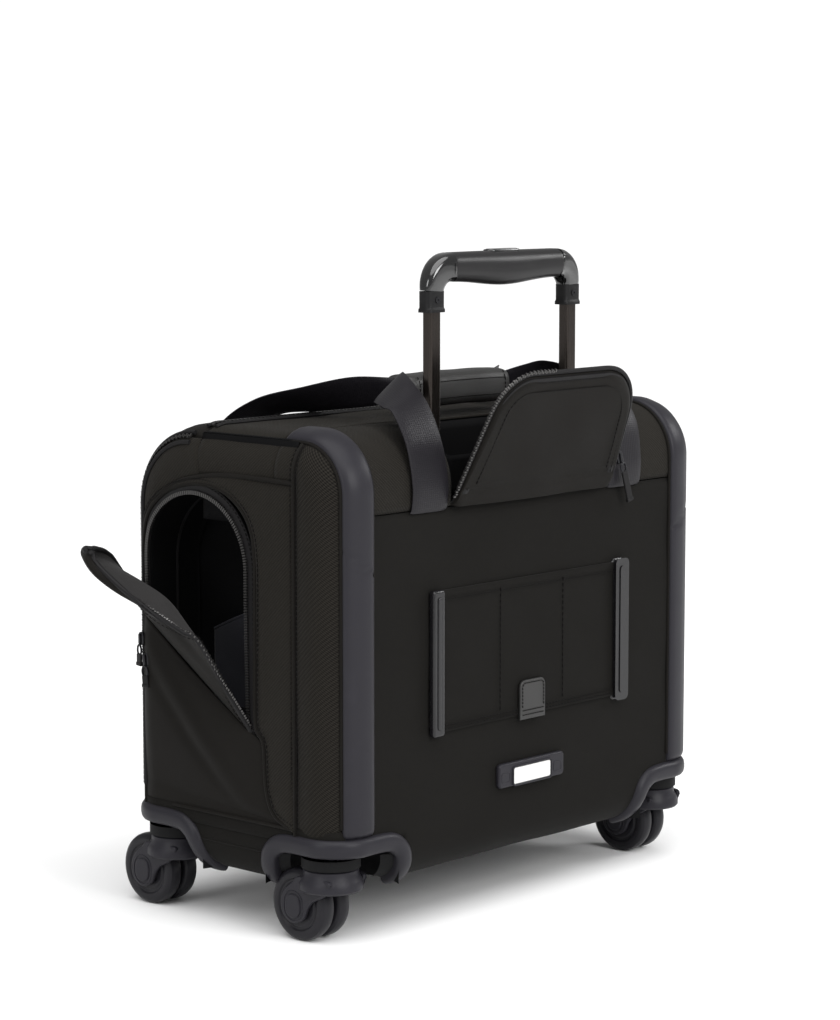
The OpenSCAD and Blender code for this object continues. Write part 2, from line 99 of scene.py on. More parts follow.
def set_stage():
    """Camera at a low three-quarter view of the back and the left side, a pale floor and soft light."""
    back = np.array([0.7352, 0.6669, 0.1220])
    up = np.array([-0.0904, -0.0820, 0.9926])
    right = np.cross(up, back)
    distance, shift, rise = 2281.56, -1.67, 90.17
    place = np.array([0, 0, 200.0]) + distance * back + shift * right + rise * up
    data = bpy.data.cameras.new("camera")
    data.sensor_width = 36
    data.lens = 103.4576
    camera = bpy.data.objects.new("camera", data)
    camera.matrix_world = Matrix((
        (right[0], up[0], back[0], place[0] * MM), (right[1], up[1], back[1], place[1] * MM),
        (right[2], up[2], back[2], place[2] * MM), (0, 0, 0, 1)))
    bpy.context.scene.collection.objects.link(camera)
    bpy.context.scene.camera = camera

    world = bpy.data.worlds.new("studio")
    world.use_nodes = True
    tree = world.node_tree
    seen = tree.nodes.new("ShaderNodeLightPath")
    level = tree.nodes.new("ShaderNodeMapRange")
    level.inputs["To Min"].default_value = 0.38
    level.inputs["To Max"].default_value = 1.1
    tree.links.new(seen.outputs["Is Camera Ray"], level.inputs["Value"])
    tree.links.new(level.outputs[0], tree.nodes["Background"].inputs[1])
    tree.nodes["Background"].inputs[0].default_value = (1, 1, 1, 1)
    bpy.context.scene.world = world
    bpy.context.scene.view_settings.view_transform = "Standard"
    sky = bpy.data.lights.new("sky", "SUN")
    sky.energy = 3.2
    sky.angle = math.radians(70)
    lamp = bpy.data.objects.new("sky", sky)
    lamp.rotation_euler = (math.radians(-14), math.radians(16), 0)
    bpy.context.scene.collection.objects.link(lamp)
    for name, spot, size, watts in (
            ("key", (0.2, 2.8, 1.5), 1.2, 50), ("side", (2.8, 0.0, 1.2), 0.9, 16),
            ("rim", (-2.2, 1.2, 1.5), 0.8, 22)):
        light = bpy.data.lights.new(name, "AREA")
        light.size = size
        light.energy = watts
        lamp = bpy.data.objects.new(name, light)
        lamp.location = spot
        lamp.rotation_euler = (Vector((0, 0, 0.25)) - lamp.location).to_track_quat("-Z", "Y").to_euler()
        bpy.context.scene.collection.objects.link(lamp)

    bpy.ops.mesh.primitive_plane_add(size=40)
    floor = bpy.context.object
    floor.name = "floor"
    floor.data.materials.append(pale_floor())


# ---- materials ----

class Wire:
    """A socket or a number in a material, whose arithmetic adds Math nodes."""

    def __init__(self, sheet, socket):
        self.sheet = sheet
        self.socket = socket

    def maths(self, operation, *values):
        """Math node over these wires or numbers."""
        return self.sheet.node("ShaderNodeMath", dict(operation=operation), *values)

    def __add__(self, other):
        return self.maths("ADD", self, other)

    def __radd__(self, other):
        return self.maths("ADD", other, self)

    def __sub__(self, other):
        return self.maths("SUBTRACT", self, other)

    def __mul__(self, other):
        return self.maths("MULTIPLY", self, other)

    def sine(self):
        """Sine of this wire."""
        return self.maths("SINE", self)


class Finish:
    """A material being made: node() adds any node, and done() ends it with the Principled shader."""

    def __init__(self, name):
        self.material = bpy.data.materials.new(name)
        self.material.use_nodes = True
        self.tree = self.material.node_tree
        self.tree.nodes.clear()

    def node(self, kind, settings=None, *values, out=0, **named):
        """Adds a node: its settings first, then the values or wires of its sockets. Returns one output."""
        made = self.tree.nodes.new(kind)
        for key, value in (settings or {}).items():
            setattr(made, key, value)
        pairs = list(zip(made.inputs, values)) + [(made.inputs[k], v) for k, v in named.items()]
        for socket, value in pairs:
            if isinstance(value, Wire):
                self.tree.links.new(value.socket, socket)
            elif value is not None:
                socket.default_value = value
        return Wire(self, made.outputs[out])

    def place(self):
        """Object coordinates, metres."""
        return self.node("ShaderNodeTexCoord", out=3)

    def cloth_place(self):
        """Metres along and across the cloth, from the piece's own map."""
        return self.node("ShaderNodeUVMap", dict(uv_map="cloth"))

    def split(self, vector):
        """The three parts of a vector."""
        made = self.tree.nodes.new("ShaderNodeSeparateXYZ")
        self.tree.links.new(vector.socket, made.inputs[0])
        return [Wire(self, out) for out in made.outputs]

    def noise(self, where, scale, detail=3.0, rough=0.55):
        """Noise from 0 to 1, finer with a larger scale."""
        return self.node("ShaderNodeTexNoise", None, Vector=where, Scale=scale, Detail=detail,
                         Roughness=rough)

    def blend(self, amount, low, high):
        """Colour from low to high, each a colour or a wire."""
        made = self.tree.nodes.new("ShaderNodeMix")
        made.data_type = "RGBA"
        made.clamp_factor = True
        for socket, value in ((made.inputs[0], amount), (made.inputs[6], low), (made.inputs[7], high)):
            if isinstance(value, Wire):
                self.tree.links.new(value.socket, socket)
            elif isinstance(value, tuple):
                socket.default_value = (*value, 1)
            else:
                socket.default_value = value
        return Wire(self, made.outputs[2])

    def bump(self, height, depth_mm, strength=1.0):
        """Normal from a height and its depth in millimetres."""
        return self.node("ShaderNodeBump", None, Strength=strength, Distance=depth_mm * MM, Height=height)

    def done(self, colour, rough, normal=None, metal=0.0, sheen=0.0, coat=0.0, specular=0.5):
        """Principled shader with these sockets, and the material itself."""
        shader = self.tree.nodes.new("ShaderNodeBsdfPrincipled")
        varied = {"Base Color": colour, "Roughness": rough, "Normal": normal}
        for name, value in varied.items():
            if isinstance(value, Wire):
                self.tree.links.new(value.socket, shader.inputs[name])
            elif isinstance(value, tuple):
                shader.inputs[name].default_value = (*value, 1)
            elif value is not None:
                shader.inputs[name].default_value = value
        shader.inputs["Metallic"].default_value = metal
        shader.inputs["Sheen Weight"].default_value = sheen
        shader.inputs["Sheen Roughness"].default_value = 0.45
        shader.inputs["Coat Weight"].default_value = coat
        shader.inputs["Coat Roughness"].default_value = 0.1
        shader.inputs["Specular IOR Level"].default_value = specular
        ending = self.tree.nodes.new("ShaderNodeOutputMaterial")
        self.tree.links.new(shader.outputs[0], ending.inputs[0])
        return self.material


def pale_floor():
    """Matt white floor."""
    f = Finish("studio floor")
    return f.done((0.83, 0.83, 0.83), 0.9, specular=0.1)


def woven(name, thread, gap, pitch, depth, rough=0.8, sheen=0.03, twill=False, fuzz=0.25):
    """Woven nylon: over-and-under threads pitch mm apart, lighter on the crowns, with slow shade changes."""
    f = Finish(name)
    along, across, _ = f.split(f.cloth_place())
    step = 2 * math.pi / (pitch * MM)
    if twill:
        lines = ((along - across) * (step * 0.5)).sine()
        crowns = ((along + across) * step).sine() * 0.5 + lines * 0.3 + 0.5
    else:
        crowns = ((along * step).sine() * (across * step).sine()) * 0.5 + 0.5
    where = f.place()
    shade = f.noise(where, 14.0, 4.0)
    lint = f.noise(where, 900.0, 2.0)
    colour = f.blend(crowns * (1 - fuzz) + lint * fuzz, gap, thread)
    dark = tuple(c * 0.72 for c in thread)
    colour = f.blend((shade - 0.35) * 0.9, colour, dark)
    roughness = rough + (shade - 0.5) * 0.12
    return f.done(colour, roughness, f.bump(crowns + lint * 0.3, depth, 0.8), sheen=sheen, specular=0.05)


def smooth_cloth(name, tone, rough=0.62, sheen=0.02, grain=0.12, low=0.7):
    """Close smooth cloth or lining: a fine plain weave too small to see singly, and slow creases."""
    f = Finish(name)
    where = f.place()
    along, across, _ = f.split(f.cloth_place())
    step = 2 * math.pi / (0.9 * MM)
    weave = (along * step).sine() * (across * step).sine()
    slow = f.noise(where, 22.0, 5.0, 0.6)
    speck = f.noise(where, 1500.0, 1.0)
    colour = f.blend(slow * 0.55 + speck * 0.35, tuple(c * low for c in tone), tuple(c * 1.25 for c in tone))
    creased = f.bump(weave * 0.5 + slow * 1.6, grain, 0.7)
    return f.done(colour, rough + (slow - 0.5) * 0.15, creased, sheen=sheen, specular=0.06)


def ribbed(name, tone, pitch=1.6, rough=0.42):
    """Webbing or tape: ribs across it and cords along it."""
    f = Finish(name)
    along, across, _ = f.split(f.cloth_place())
    ribs = (along * (2 * math.pi / (pitch * MM))).sine() * 0.5 + 0.5
    cords = (across * (2 * math.pi / (2.2 * MM))).sine() * 0.5 + 0.5
    slow = f.noise(f.place(), 30.0, 3.0)
    colour = f.blend(ribs * 0.5 + cords * 0.2 + slow * 0.3, tuple(c * 0.7 for c in tone), tone)
    return f.done(colour, rough + (slow - 0.5) * 0.1, f.bump(ribs * 0.6 + cords * 0.6, 0.08, 0.8),
                  specular=0.16)


def moulded(name, tone, rough=0.42, grain=0.04, coat=0.0, wear=0.25, specular=0.16):
    """Moulded plastic: fine spark texture, slightly uneven gloss and paler rubbed places."""
    f = Finish(name)
    where = f.place()
    fine = f.noise(where, 1300.0, 2.0)
    slow = f.noise(where, 35.0, 4.0, 0.6)
    rubbed = f.node("ShaderNodeMapRange", None, slow, 0.58, 0.8, 0.0, wear)
    colour = f.blend(rubbed, tone, tuple(c * 1.7 + 0.002 for c in tone))
    return f.done(colour, rough + (slow - 0.5) * 0.16, f.bump(fine, grain, 0.5), coat=coat, specular=specular)


def metal(name, tone, rough=0.32, stretch=(1, 1, 0.02)):
    """Drawn or anodised metal: fine lines along the tube."""
    f = Finish(name)
    turned = f.node("ShaderNodeMapping", None, f.place(), Scale=stretch)
    lines = f.noise(turned, 900.0, 2.0)
    slow = f.noise(f.place(), 20.0, 2.0)
    colour = f.blend(lines * 0.6 + slow * 0.3, tuple(c * 0.7 for c in tone), tone)
    return f.done(colour, rough + (lines - 0.5) * 0.15, f.bump(lines, 0.01, 0.5), metal=0.9)


def hide(name, tone):
    """Padded leather: irregular grain and a little polish."""
    f = Finish(name)
    where = f.place()
    cells = f.node("ShaderNodeTexVoronoi", dict(feature="DISTANCE_TO_EDGE"), Vector=where, Scale=700.0)
    slow = f.noise(where, 25.0, 4.0)
    colour = f.blend(slow, tuple(c * 0.7 for c in tone), tuple(c * 1.3 for c in tone))
    return f.done(colour, 0.5 + (slow - 0.5) * 0.2, f.bump(cells.maths("MINIMUM", cells, 0.12), 0.6, 0.6))


def printed_card(name):
    """Plain white card with a faint paper grain."""
    f = Finish(name)
    fibre = f.noise(f.place(), 400.0, 3.0)
    return f.done(f.blend(fibre, (0.62, 0.62, 0.6), (0.82, 0.82, 0.8)), 0.45, coat=0.3)


BACK_CLOTH = woven("back cloth", (0.0090, 0.0084, 0.0074), (0.0044, 0.004, 0.0036), 1.1, 0.12)
SMOOTH_CLOTH = smooth_cloth("pocket cloth", (0.0074, 0.0066, 0.0057))
SIDE_TWILL = woven("side twill", (0.020, 0.0178, 0.0145), (0.0045, 0.004, 0.0035), 1.4, 0.3, twill=True)
BAND_MESH = woven("band mesh", (0.0195, 0.0175, 0.0145), (0.0035, 0.003, 0.0027), 1.8, 0.35, twill=True)
LINING = smooth_cloth("black lining", (0.003, 0.003, 0.0033), rough=0.75, sheen=0.0)
GREY_LINING = smooth_cloth("grey lining", (0.024, 0.024, 0.029), rough=0.42, sheen=0.05)
FLAP_LINING = smooth_cloth("flap lining", (0.022, 0.021, 0.021), rough=0.55, sheen=0.05)
WEBBING = ribbed("webbing", (0.0115, 0.0105, 0.0130))
TAPE = ribbed("zip tape", (0.008, 0.0075, 0.008), pitch=1.2, rough=0.6)
SLATE = moulded("slate plastic", (0.0160, 0.0152, 0.0190))
WHEEL_SLATE = moulded("wheel plastic", (0.0115, 0.0110, 0.0135), rough=0.33)
# Near-black for the wheel wells: painted shade, standing for the shadow inside them
WELL_PAINTED_SHADE = moulded("well plastic painted shade", (0.003, 0.003, 0.0033), rough=0.7, wear=0.0)
BLACK_PLASTIC = moulded("black plastic", (0.007, 0.0068, 0.0072), rough=0.45)
GRIP_PLASTIC = moulded("grip plastic", (0.013, 0.0125, 0.013), rough=0.34, grain=0.02, specular=0.22)
BAR_PLASTIC = moulded("bar plastic", (0.0075, 0.0072, 0.0082), rough=0.25, specular=0.35)
GLOSS = moulded("gloss plastic", (0.006, 0.006, 0.0062), rough=0.13, grain=0.0, coat=0.6, wear=0.0,
               specular=0.5)
TUBE = metal("tube", (0.045, 0.038, 0.034), rough=0.28)
STEEL = metal("steel", (0.55, 0.55, 0.56), rough=0.25)
TEETH = metal("zip teeth", (0.10, 0.097, 0.095), rough=0.35)
DARK_METAL = metal("dark metal", (0.03, 0.03, 0.033), rough=0.35)
LEATHER = hide("wrap leather", (0.012, 0.0115, 0.011))
THREAD = smooth_cloth("thread", (0.0045, 0.004, 0.004), rough=0.7)
CARD = printed_card("card")


# ---- mesh making ----

class Making:
    """Collects surfaces for one piece. Arrays are in millimetres and go into the mesh in metres."""

    def __init__(self):
        self.points = []
        self.faces = []
        self.cloth = []
        self.finish = []
        self.count = 0

    def add(self, points, faces, cloth=None, finish=0):
        """Adds points and the faces between them, with a cloth map and the number of their finish."""
        points = np.asarray(points, float).reshape(-1, 3)
        faces = np.asarray(faces, int)
        self.points.append(points)
        self.faces.append(faces + self.count)
        cloth = np.zeros((len(points), 2)) if cloth is None else np.asarray(cloth, float).reshape(-1, 2)
        self.cloth.append(cloth)
        self.finish.append(np.full(len(faces), finish))
        self.count += len(points)

    def grid(self, points, cloth=None, finish=0, round_rows=False, round_columns=False, keep=None,
             flip=False):
        """Quads between neighbouring points of an (n, m, 3) array, closed round rows or columns if asked.
        keep is an (n, m) mask: a quad stays if all of its corners are kept."""
        n, m = points.shape[:2]
        i = np.arange(n if round_rows else n - 1)[:, None]
        j = np.arange(m if round_columns else m - 1)[None, :]
        a, b = i * m + j, i * m + (j + 1) % m
        c, d = ((i + 1) % n) * m + (j + 1) % m, ((i + 1) % n) * m + j
        quads = np.stack(np.broadcast_arrays(a, b, c, d), -1).reshape(-1, 4)
        if keep is not None:
            quads = quads[np.asarray(keep).ravel()[quads].all(1)]
        self.add(points, quads[:, ::-1] if flip else quads, cloth, finish)

    def cap(self, ring, finish=0, flip=False):
        """A fan of triangles from a ring's middle."""
        n = len(ring)
        points = np.vstack([ring, ring.mean(0)])
        k = np.arange(n)
        tris = np.stack([k, (k + 1) % n, np.full(n, n)], -1)
        self.add(points, tris[:, ::-1] if flip else tris, None, finish)

    def tube(self, path, profile, normals, finish=0, closed=False, scale=1.0):
        """Carries a closed profile (side, out) along a path: out is the path's normal and side is the cross
        of tangent and normal. scale widens it, per point and per direction if wanted."""
        path = np.asarray(path, float)
        if closed:
            tangent = np.roll(path, -1, 0) - np.roll(path, 1, 0)
        else:
            tangent = np.gradient(path, axis=0)
        tangent /= np.linalg.norm(tangent, axis=1)[:, None] + 1e-9
        side = np.cross(tangent, normals)
        side /= np.linalg.norm(side, axis=1)[:, None] + 1e-9
        out = np.cross(side, tangent)
        profile = np.asarray(profile, float)
        shape = profile[None] * np.broadcast_to(scale, (len(path), 1, 2))
        rings = path[:, None] + shape[..., :1] * side[:, None] + shape[..., 1:] * out[:, None]
        length = np.concatenate([[0], np.cumsum(np.linalg.norm(np.diff(path, axis=0), axis=1))])
        girth = np.concatenate([[0], np.cumsum(np.linalg.norm(np.diff(profile, axis=0), axis=1))])
        cloth = cloth_map(length[:, None], girth[None])
        self.grid(rings, cloth, finish, round_rows=closed, round_columns=True, flip=True)
        if not closed:
            self.cap(rings[0], finish)
            self.cap(rings[-1], finish, flip=True)

    def blocks(self, centres, axis_a, axis_b, axis_c, finish=0):
        """A small block at each centre, with half-axes given as (n, 3) arrays."""
        signs = np.array([[i, j, k] for i in (-1, 1) for j in (-1, 1) for k in (-1, 1)], float)
        corners = (centres[:, None] + signs[None, :, :1] * axis_a[:, None]
                   + signs[None, :, 1:2] * axis_b[:, None] + signs[None, :, 2:] * axis_c[:, None])
        sides = np.array([[0, 1, 3, 2], [4, 6, 7, 5], [0, 4, 5, 1], [2, 3, 7, 6], [0, 2, 6, 4], [1, 5, 7, 3]])
        faces = (np.arange(len(centres))[:, None, None] * 8 + sides[None]).reshape(-1, 4)
        handed = np.einsum("ij,ij->i", np.cross(axis_a, axis_b), axis_c) < 0
        faces = np.where(np.repeat(handed, 6)[:, None], faces[:, ::-1], faces)
        self.add(corners.reshape(-1, 3), faces, None, finish)

    def plate(self, outline, low, high, rounding, axes, finish=0):
        """A closed 2-D outline (anticlockwise) between two heights, its rims rounded by a quarter circle.
        axes is (origin, first, second, height direction)."""
        origin, first, second, height = (np.asarray(a, float) for a in axes)
        outline = np.asarray(outline, float)
        ahead = np.roll(outline, -1, 0) - np.roll(outline, 1, 0)
        ahead /= np.linalg.norm(ahead, axis=1)[:, None] + 1e-9
        inward = np.stack([-ahead[:, 1], ahead[:, 0]], -1)
        turn = np.linspace(0, math.pi / 2, 5)
        inset = np.concatenate([rounding * (1 - np.sin(turn)), rounding * (1 - np.cos(turn))])
        level = np.concatenate([low + rounding * (1 - np.cos(turn)), high - rounding * (1 - np.sin(turn))])
        flat = outline[None] + inward[None] * inset[:, None, None]
        rings = (origin + flat[..., :1] * first + flat[..., 1:] * second
                 + level[:, None, None] * height)
        mirrored = np.dot(np.cross(first, second), height) < 0
        self.grid(rings, None, finish, round_columns=True, flip=mirrored)
        self.cap(rings[0], finish, flip=not mirrored)
        self.cap(rings[-1], finish, flip=mirrored)

    def lathe(self, profile, origin, axis, finish=0, sides=64):
        """Turns a closed (radius, height) profile round an axis through origin."""
        axis = np.asarray(axis, float)
        first = np.cross(axis, [0.31, 0.87, 0.4])
        first /= np.linalg.norm(first)
        second = np.cross(axis, first)
        turn = np.linspace(0, 2 * math.pi, sides, endpoint=False)[:, None, None]
        radius = np.asarray(profile, float)[None, :, :1]
        height = np.asarray(profile, float)[None, :, 1:]
        spokes = radius * (np.cos(turn) * first + np.sin(turn) * second)
        rings = np.asarray(origin, float) + spokes + height * axis
        self.grid(rings, None, finish, round_rows=True, round_columns=True)

    def put(self, name, finishes, body, replaces=(), smooth=40, thick=None):
        """Makes the object: its mesh, finishes and cloth map, riding on a CAD body."""
        mesh = bpy.data.meshes.new(name)
        points = np.vstack(self.points) * MM
        loops = np.concatenate([f.ravel() for f in self.faces])
        totals = np.concatenate([np.full(len(f), f.shape[1]) for f in self.faces])
        mesh.vertices.add(len(points))
        mesh.vertices.foreach_set("co", points.ravel())
        mesh.loops.add(len(loops))
        mesh.loops.foreach_set("vertex_index", loops)
        mesh.polygons.add(len(totals))
        mesh.polygons.foreach_set("loop_start", np.concatenate([[0], np.cumsum(totals)[:-1]]))
        mesh.polygons.foreach_set("material_index", np.concatenate(self.finish))
        mesh.update(calc_edges=True)
        chart = mesh.uv_layers.new(name="cloth")
        chart.data.foreach_set("uv", np.vstack(self.cloth)[loops].ravel())
        piece = bpy.data.objects.new(name, mesh)
        bpy.context.scene.collection.objects.link(piece)
        for finish in finishes:
            mesh.materials.append(finish)
        mesh.shade_smooth()
        if smooth < 180:
            mesh.set_sharp_from_angle(angle=math.radians(smooth))
        mesh.validate()
        if thick:
            wall = piece.modifiers.new("thickness", "SOLIDIFY")
            wall.thickness = thick * MM
            wall.offset = -1
        if body:
            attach(piece, body)
        if replaces:
            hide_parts(*replaces)
        return piece


def cloth_map(u, v):
    """Cloth map in metres from millimetres along and across."""
    return np.stack(np.broadcast_arrays(u, v), -1) * MM


def disc(radius, sides=12):
    """Closed round profile."""
    a = np.linspace(0, 2 * math.pi, sides, endpoint=False)
    return np.stack([radius * np.cos(a), radius * np.sin(a)], -1)


def soft_box(width, height, radius, steps=4):
    """Closed rectangle profile with rounded corners, anticlockwise, centred."""
    a = np.linspace(0, math.pi / 2, steps + 1)
    parts = []
    for k, (x, y) in enumerate(((1, 1), (-1, 1), (-1, -1), (1, -1))):
        turn = a + k * math.pi / 2
        centre = np.array([x * (width / 2 - radius), y * (height / 2 - radius)])
        parts.append(centre + radius * np.stack([np.cos(turn), np.sin(turn)], -1))
    return np.vstack(parts)


def spline(a, b, c, d, t):
    """Catmull-Rom curve from b to c, with a before and d after."""
    return 0.5 * (2 * b + (c - a) * t + (2 * a - 5 * b + 4 * c - d) * t ** 2
                  + (3 * b - a - 3 * c + d) * t ** 3)


def curve(points, spacing=2.0, closed=False):
    """Evenly spaced points on the Catmull-Rom curve through the given ones."""
    p = np.asarray(points, float)
    if closed:
        p = np.vstack([p[-1], p, p[0], p[1]])
    else:
        p = np.vstack([2 * p[0] - p[1], p, 2 * p[-1] - p[-2]])
    t = np.linspace(0, 1, 24, endpoint=False)[:, None]
    a, b, c, d = p[:-3, None], p[1:-2, None], p[2:-1, None], p[3:, None]
    q = np.vstack([spline(a, b, c, d, t).reshape(-1, p.shape[1]), p[-2]])
    return spread(q, max(2, int(round(length_of(q) / spacing)) + 1))[:-1 if closed else None]


def length_of(path):
    """Length of a polyline."""
    return np.linalg.norm(np.diff(path, axis=0), axis=1).sum()


def spread(path, count):
    """count points evenly along a polyline."""
    path = np.asarray(path, float)
    along = np.concatenate([[0], np.cumsum(np.linalg.norm(np.diff(path, axis=0), axis=1))])
    want = np.linspace(0, along[-1], count)
    return np.stack([np.interp(want, along, path[:, k]) for k in range(path.shape[1])], -1)


def arc(cy, cz, r, start, end, count=16):
    """Points on an arc in degrees, (y, z)."""
    a = np.radians(np.linspace(start, end, count))
    return np.stack([cy + r * np.cos(a), cz + r * np.sin(a)], -1)


def ripple(u, v, phase, amount):
    """Slow uneven creases: three crossed waves of unlike lengths."""
    broad = np.sin(u / 31 + phase) * np.sin(v / 47 + 2.1 * phase)
    slanted = 0.5 * np.sin(u / 17 + v / 23 + phase)
    fine = 0.3 * np.sin(u / 9 - v / 13 + 3 * phase)
    return amount * (broad + slanted + fine) / 1.8


# ---- the body's surface ----

def outline():
    """The body's side view as a dense closed line: lengths, (y, z) points and outward normals. Length 0 is on
    the back at the top of the foot's rounding, and it runs up the back, over the top and down the front."""
    a = np.radians(np.linspace(0, 90, 64))
    pieces = [np.array([[BACK_Y, UNDER_Z + FOOT_R]])]
    for cy, cz, r, turn in (
            (BACK_Y - BACK_TOP_R, TOP_Z - BACK_TOP_R, BACK_TOP_R, 0),
            (FRONT_Y + FRONT_TOP_R, TOP_Z - FRONT_TOP_R, FRONT_TOP_R, 90),
            (FRONT_Y + FOOT_R, UNDER_Z + FOOT_R, FOOT_R, 180),
            (BACK_Y - FOOT_R, UNDER_Z + FOOT_R, FOOT_R, 270)):
        b = a + math.radians(turn)
        pieces.append(np.stack([cy + r * np.cos(b), cz + r * np.sin(b)], -1))
    line = np.vstack(pieces)
    line = spread(line, 4096)
    length = np.linspace(0, length_of(line), 4096)
    ahead = np.gradient(line, axis=0)
    ahead /= np.linalg.norm(ahead, axis=1)[:, None]
    return length, line, np.stack([ahead[:, 1], -ahead[:, 0]], -1)


LENGTH, LINE, OUTWARD = outline()
ROUND = LENGTH[-1]


def at(y, z):
    """Length along the outline of the point nearest to (y, z)."""
    return LENGTH[np.argmin(np.hypot(LINE[:, 0] - y, LINE[:, 1] - z))]


def on_body(length, width, out=0.0):
    """Point of the body's surface from the length along its side view and the width measured from the middle,
    over the rounded edge and on across the side. out lifts it off along the surface's normal."""
    length, width, out = np.broadcast_arrays(np.asarray(length, float), np.asarray(width, float), out)
    turn = np.clip((np.abs(width) - (HALF_W - EDGE_R)) / EDGE_R, 0, math.pi / 2)
    beyond = np.maximum(np.abs(width) - (HALF_W - EDGE_R) - EDGE_R * math.pi / 2, 0)
    x = np.minimum(np.abs(width), HALF_W - EDGE_R) + EDGE_R * np.sin(turn)
    inset = EDGE_R * (1 - np.cos(turn)) + beyond
    wrapped = np.mod(length, ROUND)
    y, z, ny, nz = (np.interp(wrapped, LENGTH, a) for a in (*LINE.T, *OUTWARD.T))
    side = np.where(width < 0, -1.0, 1.0)
    normal = np.stack([side * np.sin(turn), ny * np.cos(turn), nz * np.cos(turn)], -1)
    point = np.stack([side * x, y - ny * inset, z - nz * inset], -1)
    return point + normal * out[..., None], normal


def inside(y, z):
    """How far (y, z) is inside the body's side view."""
    cy, cz = (BACK_Y + FRONT_Y) / 2, (TOP_Z + UNDER_Z) / 2
    r = np.where(z > cz, np.where(y > cy, BACK_TOP_R, FRONT_TOP_R), FOOT_R)
    qy = np.abs(y - cy) - (BACK_Y - FRONT_Y) / 2 + r
    qz = np.abs(z - cz) - (TOP_Z - UNDER_Z) / 2 + r
    return r - np.hypot(np.maximum(qy, 0), np.maximum(qz, 0)) - np.minimum(np.maximum(qy, qz), 0)


def on_side(points, side=1, out=0.0):
    """Point of the side's surface at (y, z), lifted by out along X."""
    y, z = points[..., 0], points[..., 1]
    short = np.clip(EDGE_R - inside(y, z), 0, EDGE_R)
    x = HALF_W - EDGE_R + np.sqrt(EDGE_R ** 2 - short ** 2) + out
    return np.stack([side * x, y, z], -1)


def between(first, second, rows):
    """Ruled grid of points between two curves of the same count."""
    v = np.linspace(0, 1, rows)[None, :, None]
    return first[:, None] * (1 - v) + second[:, None] * v


def coons(low, high, left, right):
    """Surface spanning four curves: low and high share their count, and so do left and right."""
    n, m = len(low), len(left)
    u = np.linspace(0, 1, n)[:, None, None]
    v = np.linspace(0, 1, m)[None, :, None]
    ruled = (1 - v) * low[:, None] + v * high[:, None] + (1 - u) * left[None] + u * right[None]
    bent = (1 - u) * (1 - v) * low[0] + u * (1 - v) * low[-1] + (1 - u) * v * high[0] + u * v * high[-1]
    return ruled - bent


def cloth_of(points):
    """Metres along rows and columns of a grid, for its cloth map."""
    rows = np.linalg.norm(np.diff(points, axis=0), axis=2).mean(1)
    columns = np.linalg.norm(np.diff(points, axis=1), axis=2).mean(0)
    u = np.concatenate([[0], np.cumsum(rows)])
    v = np.concatenate([[0], np.cumsum(columns)])
    return cloth_map(v[None], u[:, None])


def stitches(make, path, normals, finish, pitch=3.6, long=2.3, wide=0.55, lift=0.25):
    """Thread dashes along a path on a surface."""
    count = max(2, int(length_of(path) / pitch))
    spots = spread(path, count * 2 + 1)[1::2]
    ways = spread(path, count * 2 + 1)
    along = ways[2::2] - ways[:-2:2]
    along /= np.linalg.norm(along, axis=1)[:, None] + 1e-9
    out = spread(np.broadcast_to(normals, path.shape), count * 2 + 1)[1::2]
    side = np.cross(along, out)
    make.blocks(spots + out * lift, along * long / 2, side * wide / 2, out * 0.3, finish)


def zip_teeth(make, path, normals, finish, pitch=2.0, reach=1.3, side=0.0):
    """A row of zip elements: small blocks across the chain, set alternately to each side of it."""
    count = max(2, int(length_of(path) / pitch))
    ways = spread(path, count * 2 + 1)
    spots, along = ways[1::2], ways[2::2] - ways[:-2:2]
    along /= np.linalg.norm(along, axis=1)[:, None] + 1e-9
    out = spread(np.broadcast_to(normals, path.shape), count * 2 + 1)[1::2]
    out = out / (np.linalg.norm(out, axis=1)[:, None] + 1e-9)
    across = np.cross(along, out)
    shift = np.where(np.arange(count) % 2 == 0, 0.5, -0.5)[:, None] if side == 0 else side
    make.blocks(spots + across * shift + out * 0.5, along * pitch * 0.3, across * reach, out * 0.7, finish)


def piping(make, path, normals, finish, radius=1.5, closed=False):
    """A thin round cord sewn along a seam."""
    make.tube(path, disc(radius, 8), np.broadcast_to(normals, path.shape), finish, closed=closed)


# ---- cloth panels of the body ----

def panel(make, lengths, widths, lift=0.0, keep=None):
    """Grid over the body's surface, with a cloth map measured along it. lift and keep may be functions."""
    l, w = np.meshgrid(lengths, widths, indexing="ij")
    points, _ = on_body(l, w, lift(l, w) if callable(lift) else lift)
    make.grid(points, cloth_map(l, w), 0, keep=keep(points, l) if keep else None, flip=True)


def steps(start, end, size=4.0):
    """Even steps of about this size."""
    return np.linspace(start, end, max(3, int(abs(end - start) / size) + 1))


def tucked(l, w, l0, l1, w0, w1, depth=1.6, reach=5.0):
    """Lift that rolls a panel's edges down into its seams."""
    near = np.minimum(np.minimum(l - l0, l1 - l), np.minimum(w - w0, w1 - w))
    return -depth * (1 - np.clip(near / reach, 0, 1)) ** 2


def out_of_wells(points):
    """True where a point is outside the wheel wells, whose rims draw in up the rounded foot."""
    x, y, z = np.abs(points[..., 0]), np.abs(points[..., 1]), points[..., 2]
    less = 9 * np.clip((x - SWIVEL[0]) / 22, 0, 1) * np.clip((z - UNDER_Z) / FOOT_R, 0, 1)
    return np.hypot(x - SWIVEL[0], y - SWIVEL[1]) > WELL_R - less


